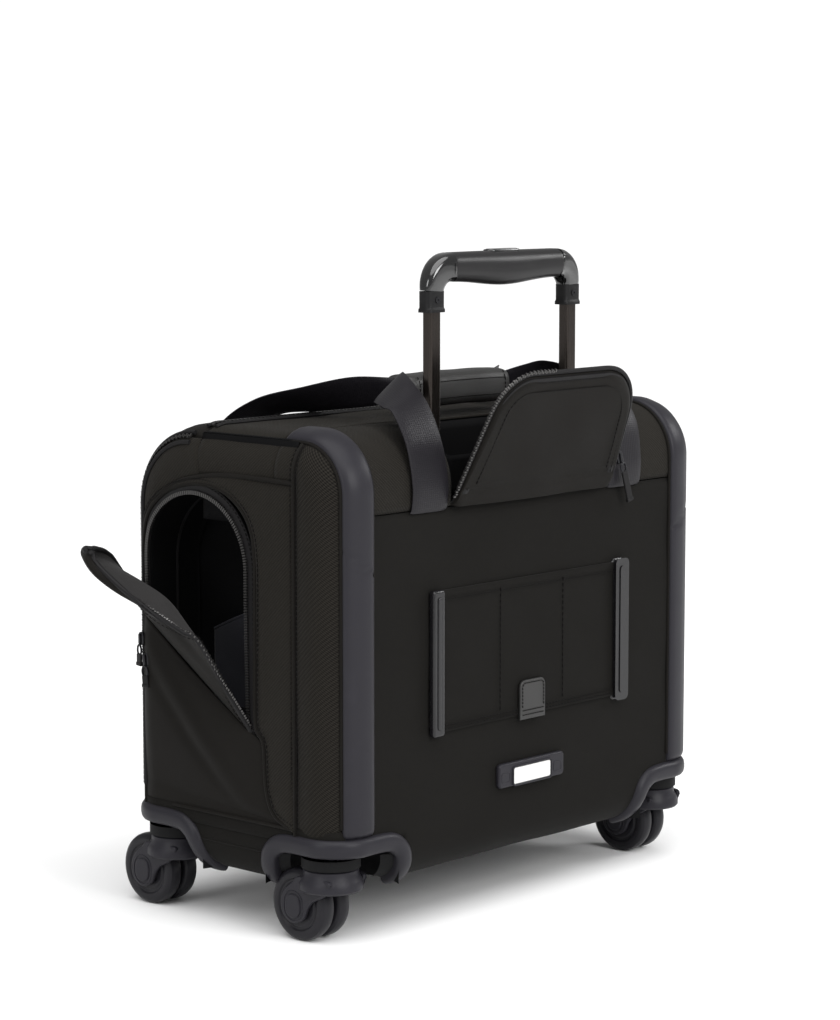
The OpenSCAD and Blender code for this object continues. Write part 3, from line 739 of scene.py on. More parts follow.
def cloth_panels():
    """The fixed panels: back, yoke, top, bottom, bands and sides."""
    make = Making()
    start, open_edge = -44.0, RAIL_IN + 9
    panel(make, steps(start, YOKE_L), steps(-RAIL_IN, RAIL_IN),
          lambda l, w: tucked(l, w, start - 9, YOKE_L, -open_edge, open_edge) + ripple(l, w, 0.4, 0.7),
          keep=lambda p, l: out_of_wells(p) | (l > 5))
    back = make.put("back_cloth", [BACK_CLOTH], "case", ("back_panel",), thick=PANEL_WALL)

    make = Making()
    low, top, well_back = YOKE_L + 0.8, at(46, TOP_Z) - 1, 338.5
    for ends in ((-RAIL_IN, -WELL_HALF), (WELL_HALF, RAIL_IN)):
        panel(make, steps(low, top), steps(*ends), lambda l,
              w: ripple(l, w, 1.9, 0.6) - 1.4 * (l < YOKE_L + 3))
    panel(make, steps(well_back, top, 2), steps(-WELL_HALF, WELL_HALF))
    panel(make, steps(low, low + 3, 2), steps(-WELL_HALF, WELL_HALF), -1.0)
    yoke = make.put("yoke_cloth", [SIDE_TWILL], "case", ("back_yoke",), thick=PANEL_WALL)

    make = Making()
    low, top_edge = top + 0.4, 231
    panel(make, steps(low, at(-35, TOP_Z) - 1), steps(-top_edge, top_edge), lambda l,
          w: ripple(l, w, 0.9, 0.8))
    for ends in ((-top_edge, -198), (198, top_edge)):
        panel(make, steps(at(BAND_Y, TOP_Z - 0.1), low, 3), steps(*ends))
    top = make.put("top_cloth", [SIDE_TWILL], "case", ("top_panel",), thick=PANEL_WALL)

    make = Making()
    panel(make, steps(at(FRONT_Y, 88), ROUND - 44), steps(-222, 222),
          keep=lambda p, l: out_of_wells(p) | (l < at(FRONT_Y, 71)))
    y, z = np.meshgrid(np.linspace(-96, 103, 60), np.linspace(74, 86, 4), indexing="ij")
    for side in (-1, 1):
        make.grid(on_side(np.stack([y, z], -1), side, -0.6), cloth_map(y, z), 0, flip=side < 0)
    for ends in ((-243, -220), (220, 243)):
        panel(make, steps(at(-44, UNDER_Z), at(44, UNDER_Z)), steps(*ends))
    base = make.put("base_cloth", [BACK_CLOTH], "case", ("base_tray",), thick=PANEL_WALL)

    for side, hand in ((1, "left"), (-1, "right")):
        make = Making()
        seam = np.stack([np.full(80, BAND_Y), np.linspace(75, 362, 80)], -1)
        rim = spread(np.vstack([[(103, 75)], arc(66, 326, 37, 0, 88), [(66, 363)]]), 80)
        area = between(seam, rim, 14)
        v = np.linspace(0, 1, 14)[None, :]
        u = np.linspace(0, 1, 80)[:, None]
        puff = 3.2 * np.sin(math.pi * v) ** 0.6 * np.clip(np.sin(math.pi * u) * 6, 0, 1) - 0.6
        puff = puff + ripple(area[..., 1], area[..., 0], 0.3, 0.6)
        make.grid(on_side(area, side, puff), area * MM, 0, flip=side < 0)
        band = make.put("band_mesh_" + hand, [BAND_MESH], "case", ("side_band_" + hand,),
                        thick=PANEL_WALL)


def lid_edge(count):
    """The lid's zip line on a side, from the top to the fold, as (y, z)."""
    return spread(np.vstack([[(-35, 359)], arc(-45, 306, 53, 90, 180, 24), [(-98, 90)]]), count)


# Seams of the side that has the pocket, as (y, z): the strip's inner edge and its outer edge
STRIP_IN = [(-95, 76), (-96, 150), (-95.6, 228), (-95.0, 262), (-91.5, 286), (-82, 304), (-63, 319),
            (-35, 326.5), (-8, 324), (11, 314), (23, 299), (27.5, 276), (27.5, 224), (27, 165), (29, 151),
            (35.5, 142), (38, 110), (46, 92), (64, 84)]
STRIP_OUT = [(-98, 76), (-98, 165), (-98, 270), (-94, 290), (-80, 310), (-55, 325), (-25, 332.5), (10, 335),
             (67, 334), (67, 220), (67, 82)]


def side_cloth():
    """Sides: shoulders under the lid's zip, a crowned strip round the open pocket, a plain right side."""
    edge = lid_edge(60)[:46]
    shoulder = [(-30, 332), (-55, 325), (-80, 310), (-94, 290), (-98, 250)]
    outer = spread(np.array(shoulder), 46)

    make = Making()
    area = between(edge, outer, 8)
    make.grid(on_side(area, 1, 0.6), area * MM, 0, flip=True)
    inner = spread(curve(STRIP_IN, 3), 240)
    rim = np.vstack([spread(np.array(STRIP_OUT[:9]), 160), spread(np.array(STRIP_OUT[8:]), 80)])
    strip = between(inner, rim, 10)
    v = np.linspace(0, 1, 10)[None, :]
    puff = 1.6 * np.sin(math.pi * v) ** 0.7 + ripple(strip[..., 0], strip[..., 1], 0.7, 0.5) - 0.2
    make.grid(on_side(strip, 1, puff), strip * MM, 0)
    left = make.put("side_cloth_left", [SIDE_TWILL], "case", ("side_panel_left",),
                    thick=POCKET_WALL)

    make = Making()
    make.grid(on_side(area, -1, 0.6), area * MM, 0)
    low = np.linspace((-98, 76.0), (57, 76.0), 60)
    high = spread(np.array(shoulder[::-1] + [(57, 334)]), 60)
    plain = between(low, high, 50)
    make.grid(on_side(plain, -1, ripple(plain[..., 0], plain[..., 1], 0.2, 0.8)), plain * MM, 0, flip=True)
    right = make.put("side_cloth_right", [SIDE_TWILL], "case", ("side_panel_right",),
                     thick=POCKET_WALL)


def fold_z(y):
    """Height of the side flap's fold line."""
    return FOLD_FRONT_Z + (FOLD_BACK_Z - FOLD_FRONT_Z) * (y - POCKET_Y + POCKET_R) / (2 * POCKET_R)


def pocket_front():
    """Cloth of the pocket below its fold line: full and soft, with creases that fan down from the fold."""
    make = Making()
    n, m = 60, 44
    y = np.linspace(-95.5, 25.0, n)
    crease = np.stack([y, fold_z(y) - 1.5], -1)
    floor = np.stack([np.linspace(-95, 66, n), np.full(n, 84.0)], -1)
    left = spread(np.array([crease[0], (-96, 150), floor[0]]), m)
    right = spread(curve([crease[-1], (28, 145), (35.5, 139), (38, 110), (46, 92), floor[-1]], 3), m)
    area = coons(crease, floor, left, right)
    u = np.linspace(0, 1, n)[:, None]
    v = np.linspace(0, 1, m)[None, :]
    away = np.sin(math.pi * u) ** 0.5 * np.clip(np.sin(math.pi * np.minimum(v + 0.12, 1)), 0, 1) ** 0.7
    slant = area[..., 0] * 0.62 + area[..., 1] * 0.8
    folds = sum(high * np.exp(-((slant - place - fan * u) / wide) ** 2) for high, place, fan, wide in (
        (1.8, 165, 14, 7), (-1.6, 150, 14, 5), (1.4, 112, -26, 8), (-1.2, 98, -26, 6)))
    puff = 6.0 * away + folds * away + ripple(area[..., 0], area[..., 1], 0.9, 1.1) * away - 0.5
    make.grid(on_side(area, 1, puff), area * MM, 0, flip=True)
    piece = make.put("pocket_front", [SMOOTH_CLOTH], "case", thick=POCKET_WALL)


def mouth_line(s, count=200):
    """The pocket's opening above its fold line, shrunk by s, from the fold's front end round to its back."""
    r = POCKET_R - s
    line = np.vstack([[(POCKET_Y - r, fold_z(POCKET_Y - r))], arc(POCKET_Y, POCKET_ARC_Z, r, 180, 0, 60),
                      [(POCKET_Y + r, fold_z(POCKET_Y + r))]])
    return spread(line, count)


def pocket_lining():
    """Bag inside the pocket: a floor, walls and a back, with a slip pocket of grey cloth and a sewn line."""
    make = Making()
    r = POCKET_R
    mouth = np.vstack([arc(POCKET_Y, POCKET_ARC_Z, r, 0, 180, 60),
                       [(POCKET_Y - r, 146), (POCKET_Y + r, 146)]])
    mouth = spread(np.vstack([mouth, mouth[:1]]), 141)[:-1]
    rows = np.linspace(0, 1, 16)
    middle = np.array([POCKET_Y, 235.0])
    rings = []
    for t in rows:
        shrink = 1 - 0.13 * t
        ring = middle + (mouth - middle) * shrink
        x = 203 - 46 * np.sin(t * math.pi / 2)
        side = on_side(mouth, 1, -3.0)[:, 0]
        rings.append(np.column_stack([np.minimum(x, side) if t else side, ring]))
    rings = np.array(rings)
    make.grid(rings, None, 0, round_columns=True)
    fill = middle + (rings[-1][:, 1:] - middle)[None] * np.linspace(1, 0.02, 20)[:, None, None]
    sag = 157 + ripple(fill[..., 0], fill[..., 1], 0.2, 2.2)
    back = np.concatenate([sag[..., None], fill], -1)
    make.grid(back, fill * MM, 0, round_columns=True)
    y = np.linspace(-64, 16, 40)[:, None]
    t = np.linspace(0, 1, 30)[None, :]
    z = 147 + t * (65 + 0.38 * (y + 60))
    x = 161 + 9 * np.sin(math.pi * (y + 64) / 80) * t ** 2 + ripple(y, z, 0.5, 1.2)
    slip = np.stack(np.broadcast_arrays(x, y, z), -1)
    make.grid(slip, cloth_map(y, z), 1)
    piping(make, slip[:, -1], LEFTWARD, 1, radius=1.3)
    piping(make, spread(rings[6], 141), LEFTWARD, 2, radius=1.1)
    bag = make.put("pocket_lining", [LINING, GREY_LINING, TAPE], "case", ("side_pocket_liner",),
                   thick=LINING_WALL)


# Side flap's shape: rows from its fold on the case to its tip, each with a point on its back edge, one in the
# middle and one on its front edge
FLAP_ROWS = np.array([
    [(208.4, 22.0, 150.0), (209.6, -35.0, 189.5), (208.4, -92.0, 227.0)],
    [(223.5, 10.0, 184.0), (221.0, -38.0, 208.0), (209.0, -92.5, 232.0)],
    [(237.5, -2.0, 217.0), (228.0, -45.0, 237.0), (211.0, -94.5, 239.0)],
    [(248.0, -9.5, 225.0), (236.0, -51.0, 250.0), (217.0, -97.5, 247.0)],
    [(262.0, -22.0, 235.0), (250.0, -60.0, 256.5), (229.0, -98.5, 259.0)],
    [(274.0, -37.0, 247.0), (265.0, -67.0, 262.0), (244.0, -95.5, 270.0)],
    [(283.0, -50.5, 261.0), (277.0, -72.0, 269.0), (260.0, -89.5, 277.5)],
    [(286.5, -59.5, 272.0), (284.0, -72.5, 276.5), (273.0, -81.5, 282.5)],
    [(286.5, -64.5, 280.0), (285.0, -69.0, 281.5), (281.5, -73.0, 283.5)]])


def flap_surface(rows, columns):
    """Smooth surface through the flap's rows and its normals: a spline along them, a parabola across each,
    creases near the fold and edges that bend over towards the tip."""
    n = len(FLAP_ROWS)
    t = np.linspace(0, n - 1, rows)
    k = np.minimum(t.astype(int), n - 2)
    f = (t - k)[:, None, None]
    a, b = FLAP_ROWS[np.maximum(k - 1, 0)], FLAP_ROWS[k]
    c, d = FLAP_ROWS[k + 1], FLAP_ROWS[np.minimum(k + 2, n - 1)]
    row = spline(a, b, c, d, f)
    u = np.linspace(0, 1, columns)[None, :, None]
    near, mid, far = row[:, 0:1], row[:, 1:2], row[:, 2:3]
    sheet = near * (1 - u) * (1 - 2 * u) + mid * 4 * u * (1 - u) + far * u * (2 * u - 1)
    v = (t / (n - 1))[:, None]
    u = u[..., 0]
    inner = np.sin(math.pi * u) * np.sin(math.pi * np.clip(v, 0, 1))
    out = np.cross(np.gradient(sheet, axis=0), np.gradient(sheet, axis=1))
    out /= np.linalg.norm(out, axis=2)[..., None] + 1e-9
    crease = (-3.0 * np.exp(-((v - 0.16 - 0.05 * u) / 0.025) ** 2)
              + 2.0 * np.exp(-((v - 0.22 - 0.05 * u) / 0.04) ** 2) + 1.2 * np.sin(9 * v + 7 * u))
    rim = 4.5 * np.clip(1 - np.minimum(u, 1 - u) * 7, 0, 1) ** 2 * np.clip((v - 0.35) * 4, 0, 1)
    return sheet + out * (crease * inner - rim)[..., None], out


def round_edge(grid):
    """A grid's border from its first row, up one side, across the last row and back down."""
    return np.vstack([grid[:, 0], grid[-1, 1:], grid[::-1, -1][1:]])


def side_flap():
    """Side pocket's flap hanging open: its lower corner leans out and its end rolls over as a tongue with a
    raised rim. Zip teeth run along its back edge, with a sewn line inside them on both faces. Its inner
    face has a smooth lining."""
    make = Making()
    mid, out = flap_surface(110, 60)
    near, far = mid + out * 1.3, mid - out * 1.3
    chart = cloth_of(mid)
    upward = out[40, 30, 2] > 0
    inner, outer = (near, far) if upward else (far, near)
    sense = 1.0 if upward else -1.0
    make.grid(inner, chart, 1, flip=not upward)
    make.grid(outer, chart, 0, flip=upward)
    edge = round_edge(mid)
    face = round_edge(out) * sense
    inset = np.vstack([mid[:, 5], mid[-6, 5:-5], mid[::-1, -6]])
    inward = spread(inset, len(edge)) - edge
    inward /= np.linalg.norm(inward, axis=1)[:, None]
    make.grid(np.stack([round_edge(near), round_edge(far)], 1), None, 2)
    edge, face, inward = (spread(line, 260) for line in (edge, face, inward))
    make.tube(edge - inward * 0.2, disc(1.9, 8), face, 2)
    zipped = 112
    zip_teeth(make, (edge - inward * 2.2 + face * 0.5)[:zipped], face[:zipped], 3, reach=1.3)
    for turn in (1, -1):
        stitches(make, (edge + inward * 4.2 + turn * face * 1.5)[:zipped], turn * face[:zipped], 4)
    make.grid(np.stack([near[0], far[0]], 1), None, 0)
    piece = make.put("side_flap_cloth", [SMOOTH_CLOTH, FLAP_LINING, TAPE, TEETH, THREAD], "side_flap",
                     ("side_pocket_flap",))


def mouth_trim():
    """Zip along the pocket's mouth, the piping round the strip and the seams' cords."""
    make = Making()
    normal = LEFTWARD
    edge = on_side(mouth_line(0.8), 1, 1.0)
    inward = np.array([0, POCKET_Y, POCKET_ARC_Z - 20]) - edge * np.array([0, 1, 1])
    inward /= np.linalg.norm(inward, axis=1)[:, None]
    outer = on_side(mouth_line(-4.6), 1, 0.9)
    tape = np.stack([outer, edge + 0.3 * inward, edge + inward * 3.2 - normal * 1.2], 1)
    make.grid(tape, None, 0, flip=True)
    make.grid(tape - normal * 0.8, None, 0)
    zip_teeth(make, edge + inward * 2.6 + normal * 0.4, normal, 1, reach=1.5, side=-0.2)
    stitches(make, on_side(mouth_line(-3.6), 1, 1.2), normal, 3)
    inner = curve(STRIP_IN, 3)
    piping(make, on_side(inner, 1, 1.0), normal, 2, 1.7)
    ahead = np.gradient(inner, axis=0)
    ahead /= np.linalg.norm(ahead, axis=1)[:, None]
    beside = inner + np.stack([-ahead[:, 1], ahead[:, 0]], -1) * 3.8
    stitches(make, on_side(beside, 1, 2.3), normal, 3)
    for side in (-1, 1):
        outer = curve(STRIP_OUT[2:9], 3)
        hem = np.linspace((-60, 84.5), (64, 84.5), 80)
        seam = np.linspace((BAND_Y, 80), (BAND_Y, 361), 90)
        for line, radius in ((outer, 1.7), (hem, 1.5), (seam, 1.6)):
            piping(make, on_side(line, side, 1.0), normal * side, 2, radius)
        for shift, lift in ((-3.2, 1.3), (3.4, 2.1)):
            stitches(make, on_side(seam + np.array([shift, 0]), side, lift), normal * side, 3)
    make.put("side_trim", [TAPE, TEETH, SMOOTH_CLOTH, THREAD], "case")


def lid_cloth():
    """The lid: top and front cloth as far as its zip line, with the front pocket's padded face."""
    make = Making()
    l0, l1, w1 = at(-36, TOP_Z), at(FRONT_Y, 90), 203.1
    panel(make, steps(l0, l1, 5), steps(-w1, w1, 5),
          lambda l, w: tucked(l, w, l0, l1 + 9, -w1, w1) + ripple(l, w, 1.2, 1.0))
    piece = make.put("lid_cloth", [SMOOTH_CLOTH], "lid", ("front_lid",), thick=1.5)

    make = Making()
    low, high = at(FRONT_Y, 103), at(FRONT_Y, 306)
    z, w = np.meshgrid(steps(high, low, 4), steps(-170, 170, 4), indexing="ij")
    half, tall = 170.0, (low - high) / 2
    r = 34
    qx = np.maximum(np.abs(w) - half + r, 0)
    qz = np.maximum(np.abs(z - (low + high) / 2) - tall + r, 0)
    depth = r - np.hypot(qx, qz)
    rise = 16.5 * np.sqrt(np.clip(1 - (1 - np.clip(depth / 15, 0, 1)) ** 2, 0, 1))
    points, _ = on_body(z, w, rise + ripple(z, w, 0.8, 1.0) * np.clip(depth / 20, 0, 1) - 0.5)
    make.grid(points, np.stack([z, w], -1) * MM, 0, flip=True)
    ww = np.linspace(-150, 150, 120)
    for line, shift in ((high + 36 + 10 * (ww / 150) ** 2, 0.0), (high + 41 + 10 * (ww / 150) ** 2, 0.1)):
        path, normal = on_body(line, ww, 16.4 + shift)
        if shift:
            zip_teeth(make, path, normal, 2)
        else:
            piping(make, path, normal, 1, 1.8)
    piece = make.put("front_pocket_cloth", [SMOOTH_CLOTH, TAPE, TEETH], "lid",
                     ("front_pocket",), thick=1.2)

    make = Making()
    for side in (-1, 1):
        l = np.linspace(l0 + 8, l1 - 4, 300)
        path, normal = on_body(l, side * 203.6, 1.8)
        zip_teeth(make, path, normal, 1)
        for shift in (-4.4, 4.4):
            cord, normal = on_body(l, side * (203.6 + shift), 1.2)
            piping(make, cord, normal, 0, 1.7)
    ww = np.linspace(-190, 190, 240)
    path, normal = on_body(l0 - 1.0, ww, 1.2)
    zip_teeth(make, path, normal, 1)
    for shift in (-4.4, 4.4):
        cord, normal = on_body(l0 - 1.0 + shift, ww, 0.8)
        piping(make, cord, normal, 0, 1.5)
    make.put("lid_zip", [TAPE, TEETH], "case")


def right_pocket():
    """Closed pocket on the other side: a bulged face with a curved zip."""
    make = Making()
    y, z = np.meshgrid(np.linspace(-90, 86, 60), np.linspace(90, 332, 70), indexing="ij")
    cy, cz, hy, hz, r = -2.0, 211.0, 88.0, 121.0, 26.0
    depth = r - np.hypot(np.maximum(np.abs(y - cy) - hy + r, 0), np.maximum(np.abs(z - cz) - hz + r, 0))
    rise = 8.5 * np.sqrt(np.clip(1 - (1 - np.clip(depth / 12, 0, 1)) ** 2, 0, 1)) - 1.0
    area = np.stack([y, z], -1)
    rise = rise + ripple(y, z, 0.2, 1.0) * np.clip(depth / 20, 0, 1)
    make.grid(on_side(area, -1, rise), area * MM, 0, flip=True)
    line = curve([(-70, 130), (-72, 270), (-40, 308), (20, 312), (66, 290), (72, 200)], 3)
    path = on_side(line, -1, 7.8)
    out = np.array([-1.0, 0, 0])
    piping(make, path, out, 1, 2.4)
    zip_teeth(make, path + out * 2.0, out, 2)
    piece = make.put("right_pocket_cloth", [SMOOTH_CLOTH, TAPE, TEETH], "case",
                     ("right_pocket_panel",),
             thick=1.2)


# ---- rails, corners and casters ----

def rails():
    """Moulded rail over each back edge: it runs from the bottom bracket over the top, with a slanted
    joint."""
    for side, hand in ((1, "left"), (-1, "right")):
        make = Making()
        shape = np.array([(172.2, -1.2), (172.3, 1.6), (173.0, 2.8), (174.6, 3.5), (178, 3.8), (185, 3.9),
                          (192, 3.8),
                          (196.2, 3.4), (197.6, 2.4), (198.4, 0.8), (198.5, -1.5)])
        l = steps(14, at(46, TOP_Z), 2.0)
        ends = np.clip(np.minimum(l - l[0], l[-1] - l) / 5, 0, 1) ** 0.5
        ll = np.broadcast_to(l[:, None], (len(l), len(shape)))
        w = np.broadcast_to(shape[None, :, 0], ll.shape)
        joint = np.exp(-((ll - 212 - (w - 185) * 0.7) / 1.3) ** 2)
        lift = shape[None, :, 1] - 1.4 * joint - 5.0 * (1 - ends[:, None])
        points, _ = on_body(ll, side * w, lift)
        make.grid(points, None, 0, flip=side > 0)
        path, normal = on_body(l[4:-3], side * 198.9, 0.4)
        piping(make, path, normal, 1, 1.4)
        path, normal = on_body(l[4:-3], side * 171.6, 0.4)
        piping(make, path, normal, 1, 1.3)
        make.put("rail_" + hand, [SLATE, SMOOTH_CLOTH], "case", ("bumper_rail_" + hand,))


def low_corner(q, e, lift, sx, sy):
    """Point and normal on a bottom corner of the body: q is measured round the corner in plan from its
    middle and
    e upwards from the top of the foot's rounding."""
    quarter = EDGE_R * math.pi / 4
    turn = math.pi / 4 - np.clip(q, -quarter, quarter) / EDGE_R
    below = np.clip(-e / EDGE_R, 0, math.pi / 2)
    over = np.abs(q) - quarter
    slide = np.maximum(over, 0)
    out = np.stack([np.cos(turn) * np.cos(below), np.sin(turn) * np.cos(below), -np.sin(below)], -1)
    centre = np.stack([
        np.where(q < 0, 180 - slide, 180.0), np.where(q > 0, 80 - slide, 80.0),
        UNDER_Z + FOOT_R + np.maximum(e, 0)], -1)
    point = centre + out * (EDGE_R + lift)[..., None]
    hand = np.array([sx, sy, 1.0])
    return point * hand, out * hand


BEAD = [(-70.5, -38), (-68, -26), (-64.5, -10), (-60, 0), (-51, 6), (-38, 7.5), (-22, 7.5), (0, 7.5),
        (22, 7.5),
        (38, 7.5), (51, 6), (60, 0), (64.5, -10), (68, -26), (70.5, -38)]


def corners():
    """Each bottom corner: a moulded rim that arches over the wheel well, the well's lining and the collar.
    The lining, the collar and the rim's inner face are near-black, as painted shade in the well.
    """
    for end, sy in (("back", 1), ("front", -1)):
        for hand, sx in (("left", 1), ("right", -1)):
            mirrored = sx * sy < 0
            make = Making()
            path = curve(BEAD, 2.0)
            shape = np.array([(-7.2, -2.5), (-7.0, 0.6), (-6.0, 2.6), (-4.0, 3.9), (-1.5, 4.4), (1.5, 4.4),
                              (4.0, 3.9),
                              (6.0, 2.6), (7.0, 0.6), (7.2, -2.5)])
            ahead = np.gradient(path, axis=0)
            ahead /= np.linalg.norm(ahead, axis=1)[:, None]
            cross = np.stack([-ahead[:, 1], ahead[:, 0]], -1)
            spot = path[:, None] + cross[:, None] * shape[None, :, :1]
            points, _ = low_corner(spot[..., 0], spot[..., 1],
                                   np.broadcast_to(shape[None, :, 1], spot.shape[:2]),
                                   sx, sy)
            make.grid(points, None, 0, flip=mirrored)
            # The rim's inner face and the well's lining below take finish 1, near-black painted shade in the
            # well
            wall = path[:, None] + cross[:, None] * np.array([-7.2])[None, :, None]
            ring, _ = low_corner(wall[..., 0], wall[..., 1], np.full(wall.shape[:2], -2.5), sx, sy)
            axis = np.array([sx * SWIVEL[0], sy * SWIVEL[1]])
            inward = ring.copy()
            inward[..., :2] = ring[..., :2] + (axis - ring[..., :2]) * 0.22
            inward[..., 2] = np.maximum(ring[..., 2] + 0, 0) + 1.5
            make.grid(np.concatenate([ring, inward], 1), None, 1, flip=not mirrored)
            # Lining of the well down to the collar round the swivel, near-black as painted shade
            r = np.concatenate([[51, 51], 37 + 14 * np.sin(np.linspace(math.pi / 2, 0, 8)), [21.5, 21.5, 5]])
            z = np.concatenate([[39, 50], 50 + 14 * np.cos(np.linspace(math.pi / 2, 0, 8)), [64, 56.4, 56.4]])
            a = np.linspace(0, 2 * math.pi, 97)[:-1]
            painted_shade_liner = np.stack([axis[0] + r[:, None] * np.cos(a), axis[1] + r[:, None] * np.sin(a),
                              np.broadcast_to(z[:, None], (len(r), 96))], -1)
            plan = np.hypot(np.maximum(np.abs(painted_shade_liner[..., 0]) - 180, 0),
                            np.maximum(np.abs(painted_shade_liner[..., 1]) - 80, 0))
            hidden = (plan < 27) | (np.arange(len(r)) >= len(r) - 3)[:, None]
            make.grid(painted_shade_liner, None, 1, keep=hidden, round_columns=True)
            name = end + "_" + hand
            make.put("corner_" + name, [SLATE, WELL_PAINTED_SHADE], "case",
                     ("corner_housing_" + name,))


FORK_SIDE = [(-13.5, 50), (-21, 45), (-29, 38), (-33, 28.5), (-30.5, 19), (-21, 14), (-11, 18), (-6.5, 26.5),
             (-1, 32.5),
             (7, 36.5), (12.5, 40.5), (15, 45), (14, 50)]


def casters():
    """Twin-wheel casters: a domed yoke with a curved arm down each side to a round hub cap, and two
    wheels."""
    for end, sy in (("back", 1), ("front", -1)):
        for hand, sx in (("left", 1), ("right", -1)):
            name = end + "_" + hand
            centre = np.array([sx * SWIVEL[0], sy * SWIVEL[1], 0.0])
            make = Making()
            dome = [(4.9, 78), (4.9, 55.6), (19.4, 55.6), (20.2, 54.8), (20.6, 51), (22.4, 48), (23.8, 44.5),
                    (23.8, 41),
                    (22.6, 39.6), (18, 39.2), (4.9, 39.2)]
            make.lathe(dome, centre, (0, 0, 1), 0)
            arm = curve(FORK_SIDE, 1.5, closed=True)
            for side in (-1, 1):
                origin = centre + np.array([side * 15.0, 0, 0])
                make.plate(arm[::side], 0, 3.8, 1.2, (origin, (0, 1, 0), (0, 0, 1), (side, 0, 0)), 0)
                hub = centre + np.array([side * 15.0, -TRAIL, WHEEL_R])
                cap = soft_box(14.5, 18.0, 6.8, 6)
                make.plate(cap[::side], 3.0, 4.9, 1.0, (hub, (0, 1, 0), (0, 0, 1), (side, 0, 0)), 0)
                ring = soft_box(18.5, 22.0, 8.8, 8)
                spot = np.stack([np.full(len(ring), side * 3.7), ring[:, 0], ring[:, 1]], -1) + hub
                piping(make, spot, np.array([float(side), 0, 0]), 0, 0.6, closed=True)
            make.put("yoke_" + name, [SLATE], "caster_" + name, ("fork_" + name,), smooth=35)
            for place, out in ((1, "outer"), (-1, "inner")):
                make = Making()
                half = 6.5
                r = WHEEL_R
                tread = [(3.6, -half + 1.6), (9, -half + 1.6), (10, -half + 0.6), (15.5, -half + 0.4),
                         (17, -half + 1.2),
                         (18.4, -half + 1.2), (19.6, -half + 0.2), (22.5, -half), (r - 2.6, -half + 0.5),
                         (r - 1.0, -half + 1.8), (r - 0.2, -half + 3.8), (r, 0), (r - 0.2, half - 3.8),
                         (r - 1.0, half - 1.8), (r - 2.6, half - 0.5), (22.5, half), (19.6, half - 0.2),
                         (18.4, half - 1.2), (17, half - 1.2), (15.5, half - 0.4), (10, half - 0.6),
                         (9, half - 1.6), (3.6, half - 1.6)]
                axle = centre + np.array([sx * place * 8.0, -TRAIL, WHEEL_R])
                make.lathe(tread, axle, (1, 0, 0), 0, 96)
                make.put(f"tyre_{name}_{out}", [WHEEL_SLATE], f"wheel_{name}_{out}_turning",
                         (f"wheel_{name}_{out}",), smooth=28)


# ---- telescoping handle ----

def grip():
    """Handle's grip: flanged sleeves, glossy elbows and a full bar, bulged underneath, with its button
    on top."""
    make = Making()
    for side in (-1, 1):
        foot = np.array([side * POST_X, POST_Y, SLEEVE_Z])
        post = np.array([foot + (0, 0, h) for h in (0.0, 2.2, 2.6, 3.4, 8, 15.5)])
        wide = np.array([1.0, 1.0, 0.98, 0.95, 0.95, 0.95])
        deep = np.array([0.92, 0.92, 0.88, 0.81, 0.81, 0.82])
        out = np.broadcast_to([0, 1.0, 0], post.shape)
        make.tube(post, soft_box(19.5, 14.5, 4.2), out, 1, scale=np.stack([wide, deep], -1)[:, None, :])
        turn = np.linspace(0, math.pi / 2, 14)
        bend = 17.0
        lift = np.linspace(0, 1, 14)
        elbow = np.stack([side * (POST_X - bend + bend * np.cos(turn)), np.full(14, POST_Y),
                          SLEEVE_Z + 15.5 + bend * np.sin(turn)], -1)
        shape = soft_box(18.4, 14.0, 4.6)
        grow = np.stack([1 + 0.16 * lift, 0.85 + 0.57 * lift], -1)[:, None, :]
        make.tube(elbow, shape, np.broadcast_to([0, 1.0, 0], elbow.shape), 2, scale=grow)
    n = 90
    x = np.linspace(-62.5, 62.5, n)
    middle = np.abs(x) / 62.5
    bar = np.stack([x, np.full(n, POST_Y), BAR_Z + 1.0 - 2.0 * np.exp(-(x / 34) ** 2)], -1)
    high = 1 + 0.20 * np.exp(-(x / 36) ** 2) - 0.55 * np.clip((middle - 0.975) / 0.025, 0, 1) ** 2
    deep = 1 + 0.06 * np.exp(-(x / 30) ** 2) - 0.55 * np.clip((middle - 0.975) / 0.025, 0, 1) ** 2
    shape = soft_box(21.0, 21.4, 8.6, 8)
    make.tube(bar, shape, np.broadcast_to([0, 0, 1.0], bar.shape), 0,
              scale=np.stack([deep, high], -1)[:, None, :])
    for side in (-1, 1):
        seam = np.array([[side * 60.5, POST_Y, BAR_Z + 1], [side * 63.0, POST_Y, BAR_Z + 1]])
        make.tube(seam, soft_box(20.4, 20.8, 8.2, 6), np.broadcast_to([0, 0, 1.0], seam.shape), 2)
    piece = make.put("grip", [GRIP_PLASTIC, BLACK_PLASTIC, GLOSS], "handle_grip",
                     ("grip_bar", "grip_sleeves"), smooth=50)
    wear = piece.modifiers.new("soften", "BEVEL")
    wear.width = 0.3 * MM
    wear.segments = 1
    wear.limit_method = "ANGLE"
    make = Making()
    ring = soft_box(35.5, 11.6, 5.7, 8)
    dish = soft_box(32.0, 8.2, 4.0, 8)
    level = BAR_Z + 11.4
    make.plate(ring, level - 4, level + 1.4, 1.0, ((0, POST_Y, 0), (1, 0, 0), (0, 1, 0), (0, 0, 1)), 0)
    make.plate(dish, level + 0.6, level + 1.8, 0.6, ((0, POST_Y, 0), (1, 0, 0), (0, 1, 0), (0, 0, 1)), 0)
    make.put("release_key", [GLOSS], "release_button", ("grip_button",), smooth=50)


